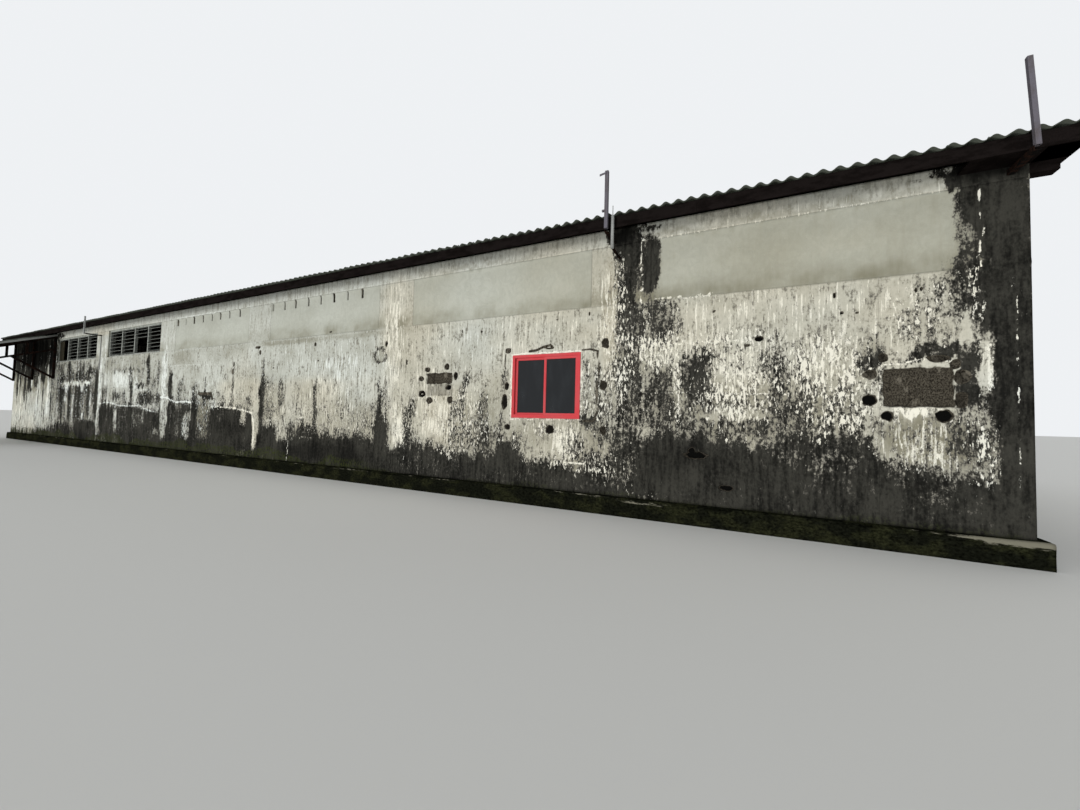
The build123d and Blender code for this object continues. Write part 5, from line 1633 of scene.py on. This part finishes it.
class HALL_OT_eave_steel(bpy.types.Operator):
    """Posts, arms, conduit, pipe and rod at the eave"""

    bl_idname = "hall.eave_steel"
    bl_label = "Steel at the eave"

    def execute(self, context):
        self.posts()
        self.wall_arm()
        self.pipe()
        return {"FINISHED"}

    def posts(self):
        uprights, arms = Build(), Build()
        for number, (low, high) in enumerate(solids_of("eave_posts")):
            wide = 0.054 if number == 0 else 0.046
            y = low.y + wide / 2
            x = high.x - wide / 2
            lean = 0.0 if number == 0 else low.x + wide - high.x
            foot = low.z
            uprights.square_tube((x, y, foot + 0.05), (x + lean, y, high.z), wide, 0.004)
            arms.angle((x - 0.03, y, foot), (x - 0.03, -HALF_DEPTH, foot), 0.06, 0.006, X, Z)
            if number == 0:
                uprights.prism(((-0.004, 0), (0.004, 0), (0.004, 0.03), (-0.004, 0.03)),
                               (low.x + 0.015, y - 0.034, high.z - 0.075),
                               (x, y - 0.034, high.z - 0.055), Y, Z)
                level = WALL_TOP + 0.08
                uprights.angle((x - 0.075, y, level), (x, y, level), 0.03, 0.004, Y, Z)
        put_up(uprights.finish("eave_post_uprights"), "post", "post_steel", "eave_posts")
        # The arms take the near-black steel finish: painted shade of the eave they hang under
        put_up(arms.finish("eave_post_arms"), "steel", "post_steel", "eave_posts")

    def wall_arm(self):
        low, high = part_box("wall_arm_post")
        wide = high.x - low.x
        x = (low.x + high.x) / 2
        arm_foot = high.z - 0.66
        pale, dark = Build(), Build()
        pale.square_tube((x, low.y + wide / 2, arm_foot), (x, low.y + wide / 2, high.z), wide, 0.003)
        pale.tube((x, high.y - 0.013, low.z), (x, high.y - 0.013, arm_foot), 0.0125, 16)
        for share in (0.15, 0.5, 0.85):
            z = low.z + share * (arm_foot - low.z)
            ends = (x - 0.03, high.y - 0.0275, z - 0.008), (x + 0.03, high.y - 0.0005, z + 0.008)
            pale.box(*ends, 0.002)
        left, right = x - wide / 2, x + wide / 2
        dark.box((left, low.y + wide, arm_foot), (right, high.y, arm_foot + wide), 0.003)
        put_up(pale.finish("wall_arm_upright"), "zinc", "pale_steel", "wall_arm_post")
        put_up(dark.finish("wall_arm_bar"), "steel", "pale_steel", "wall_arm_post")

    def pipe(self):
        low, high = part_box("pipe_stub")
        x = (low.x + high.x) / 2
        radius = (high.x - low.x) / 2
        y = low.y + radius
        inner = radius - 0.004
        pipe, arm = Build(), Build()
        pipe.loops([
            [(x + r * math.cos(turn), y + r * math.sin(turn), z) for turn in full_turn(20)]
            for z, r in ((low.z, radius), (high.z, radius), (high.z, inner), (low.z, inner))
        ], True, True)
        arm.box((x - 0.015, y + radius, low.z), (x + 0.015, high.y, low.z + 0.03), 0.002)
        pipe.tube((x, y + 0.004, high.z - 0.02), (x, y + 0.004, high.z + 0.16), 0.007, 10)
        put_up(pipe.finish("pipe_stub_tube"), "zinc", "pale_steel", "pipe_stub")
        put_up(arm.finish("pipe_stub_arm"), "steel", "pale_steel", "pipe_stub")


class HALL_OT_doors(bpy.types.Operator):
    """Double door of ribbed sheet on a steel frame, with hinges and a bolt"""

    bl_idname = "hall.doors"
    bl_label = "Double door"

    def execute(self, context):
        leaves = sorted(solids_of("door_leaves"), key=lambda box: box[0].y)
        build, iron = Build(), Build()
        for number, (low, high) in enumerate(leaves):
            self.leaf(build, low, high)
            hinge_y = low.y if number == 0 else high.y
            for share in (0.1, 0.5, 0.9):
                z = low.z + share * (high.z - low.z)
                pin_x = low.x - 0.012
                iron.tube((pin_x, hinge_y, z - 0.06), (pin_x, hinge_y, z + 0.06), 0.012)
        meeting = leaves[0][1].y
        middle = (leaves[0][0].z + leaves[0][1].z) / 2 - 0.3
        bolt_x = low.x - 0.016
        iron.tube((bolt_x, meeting - 0.16, middle), (bolt_x, meeting + 0.16, middle), 0.009)
        for shift in (-0.14, -0.05, 0.05, 0.14):
            iron.box(
                (low.x - 0.028, meeting + shift - 0.012, middle - 0.02),
                (low.x - 0.002, meeting + shift + 0.012, middle + 0.02), 0.002,
            )
        put_up(build.finish("door_leaves_ribbed"), "door", "door_steel", "door_leaves")
        put_up(iron.finish("door_ironmongery"), "steel", "door_steel", "door_leaves")
        return {"FINISHED"}

    def leaf(self, build, low, high):
        """A frame of channels with a ribbed sheet set 12 mm back from its face."""
        bar, gap, ribs_apart = 0.08, 0.004, 0.12
        y0, y1 = low.y + gap, high.y - gap
        z0, z1 = low.z + 0.010, high.z - gap
        rail_z = [z0, z0 + (z1 - z0) * 0.36, z0 + (z1 - z0) * 0.68, z1 - bar]
        for z in rail_z:
            build.box((low.x, y0 + bar, z), (high.x, y1 - bar, z + bar), 0.003)
        for y in (y0, y1 - bar):
            build.box((low.x, y, z0), (high.x, y + bar, z1), 0.003)
        ribs = round((y1 - y0 - 2 * bar) / ribs_apart)
        pitch = (y1 - y0 - 2 * bar) / ribs
        outline = []
        for i in range(ribs):
            for share, out in ((0.0, 0.014), (0.55, 0.014), (0.65, 0.006), (0.9, 0.006)):
                outline.append((y0 + bar + (i + share) * pitch, low.x + out))
        outline.append((y1 - bar, low.x + 0.014))
        back = [(y, x + 0.0015) for y, x in reversed(outline)]
        for below, above in zip(rail_z, rail_z[1:]):
            build.prism(outline + back, (0, 0, below + bar), (0, 0, above), Y, X)


class HALL_OT_carried_over(bpy.types.Operator):
    """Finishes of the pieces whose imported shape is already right"""

    bl_idname = "hall.carried_over"
    bl_label = "Finishes of plain pieces"

    def execute(self, context):
        nodes = {
            "steel": (
                "roof_trusses", "rafter_tails", "purlins", "canopy_brackets", "canopy_purlins"
            ),
            "louvre": ("front_louvre_frames", "rear_louvre_windows"),
            "concrete": ("floor_slab",),
            "door": ("door_frame",),
            "glass": ("window_panes",),
            "board": ("corner_beam_stub",),
            "zinc": ("canopy_edge",),
        }
        for name in nodes:
            for node in nodes[name]:
                data = frame["nodes"][node].data
                data.materials.clear()
                data.materials.append(finish(name))
        return {"FINISHED"}


# Stage, with the place, angles, lens and sensor of the photograph's camera
CAMERA_AT = Vector((14.248, -12.546, 1.5))
CAMERA_TURN = math.radians(25.863)
CAMERA_RISE = math.radians(2.183)
CAMERA_ROLL = math.radians(1.459)
CAMERA_LENS = 13.53
SENSOR = 36.0


class HALL_OT_stage(bpy.types.Operator):
    """Camera at the photograph's place, a plain floor and soft studio light"""

    bl_idname = "hall.stage"
    bl_label = "Stage"

    def execute(self, context):
        self.camera(context)
        self.floor()
        self.lights(context)
        context.scene.view_settings.view_transform = "Standard"
        return {"FINISHED"}

    def camera(self, context):
        forward = Vector((
            -math.sin(CAMERA_TURN) * math.cos(CAMERA_RISE),
            math.cos(CAMERA_TURN) * math.cos(CAMERA_RISE),
            math.sin(CAMERA_RISE),
        ))
        level = Vector((math.cos(CAMERA_TURN), math.sin(CAMERA_TURN), 0))
        upright = level.cross(forward)
        right = level * math.cos(CAMERA_ROLL) + upright * math.sin(CAMERA_ROLL)
        up = upright * math.cos(CAMERA_ROLL) - level * math.sin(CAMERA_ROLL)
        data = bpy.data.cameras.new("view")
        data.sensor_width = SENSOR
        data.lens = CAMERA_LENS
        data.clip_start = 0.1
        data.clip_end = 900
        camera = bpy.data.objects.new("view", data)
        turn = Matrix((right, up, -forward)).transposed().to_4x4()
        camera.matrix_world = Matrix.Translation(CAMERA_AT) @ turn
        context.scene.collection.objects.link(camera)
        context.scene.camera = camera

    def floor(self):
        half = 300.0
        points = [(-half, -half, 0), (half, -half, 0), (half, half, 0), (-half, half, 0)]
        floor = mesh_object("studio_floor", points, [(0, 1, 2, 3)])
        material, tree, shader = new_material("plain_floor")
        fill(tree, shader, {"Base Color": rgba("D6D6D3"), "Roughness": 0.95,
                            "Specular IOR Level": 0.1})
        floor.data.materials.append(material)
        # The low light of the stage comes from under the floor
        floor.visible_shadow = False

    def lights(self, context):
        world = bpy.data.worlds.new("soft_sky")
        context.scene.world = world
        world.use_nodes = True
        tree = world.node_tree
        tree.nodes.clear()
        path = add(tree, "LightPath")
        seen = path.outputs["Is Camera Ray"]
        for other in ("Is Glossy Ray", "Is Transmission Ray"):
            inputs = {0: seen, 1: path.outputs[other]}
            seen = add(tree, "Math", inputs, operation="MAXIMUM").outputs[0]
        lit = add(tree, "Background", {"Color": (0.95, 0.98, 1, 1), "Strength": 0.34})
        shown = add(tree, "Background", {"Color": (0.86, 0.88, 0.9, 1), "Strength": 1.0})
        both = add(tree, "MixShader", {0: seen, 1: lit.outputs[0], 2: shown.outputs[0]})
        add(tree, "OutputWorld", {"Surface": both.outputs[0]})
        for name, toward, strength, spread in (
            ("front_soft_light", (0.35, 1.0, -0.06), 1.45, 24),
            ("ground_bounce", (0.1, 1.0, 0.55), 1.2, 60),
            ("high_soft_light", (0.25, 0.35, -1.0), 0.9, 60),
            ("rear_soft_light", (-0.5, -1.0, -0.3), 0.9, 80),
        ):
            data = bpy.data.lights.new(name, "SUN")
            data.energy = strength
            data.angle = math.radians(spread)
            lamp = bpy.data.objects.new(name, data)
            lamp.rotation_euler = Vector(toward).to_track_quat("-Z", "Y").to_euler()
            lamp.visible_glossy = False
            context.scene.collection.objects.link(lamp)


class HALL_PT_panel(bpy.types.Panel):
    bl_label = "Factory hall"
    bl_idname = "HALL_PT_panel"
    bl_space_type = "VIEW_3D"
    bl_region_type = "UI"
    bl_category = "Factory hall"

    def draw(self, context):
        layout = self.layout
        for group in (context.scene.hall_walls, context.scene.hall_roof, context.scene.hall_colours):
            box = layout.box()
            for key in type(group).__annotations__:
                box.prop(group, key)
        for operator in OPERATORS:
            layout.operator(operator.bl_idname)


GROUPS = {"hall_walls": WallSizes, "hall_roof": RoofSizes, "hall_colours": FinishColours}
OPERATORS = (
    HALL_OT_front_wall,
    HALL_OT_infill_panels,
    HALL_OT_far_walls,
    HALL_OT_plinths,
    HALL_OT_roof_sheets,
    HALL_OT_fascia,
    HALL_OT_window,
    HALL_OT_louvres,
    HALL_OT_eave_steel,
    HALL_OT_doors,
    HALL_OT_carried_over,
    HALL_OT_stage,
)


def register():
    for cls in (*GROUPS.values(), *OPERATORS, HALL_PT_panel):
        bpy.utils.register_class(cls)
    for name, group in GROUPS.items():
        setattr(bpy.types.Scene, name, PointerProperty(type=group))


def unregister():
    for name in GROUPS:
        delattr(bpy.types.Scene, name)
    for cls in reversed((*GROUPS.values(), *OPERATORS, HALL_PT_panel)):
        bpy.utils.unregister_class(cls)


def main():
    register()
    for operator in OPERATORS:
        getattr(bpy.ops.hall, operator.bl_idname.removeprefix("hall."))()
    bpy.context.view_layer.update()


if __name__ == "__main__":
    main()
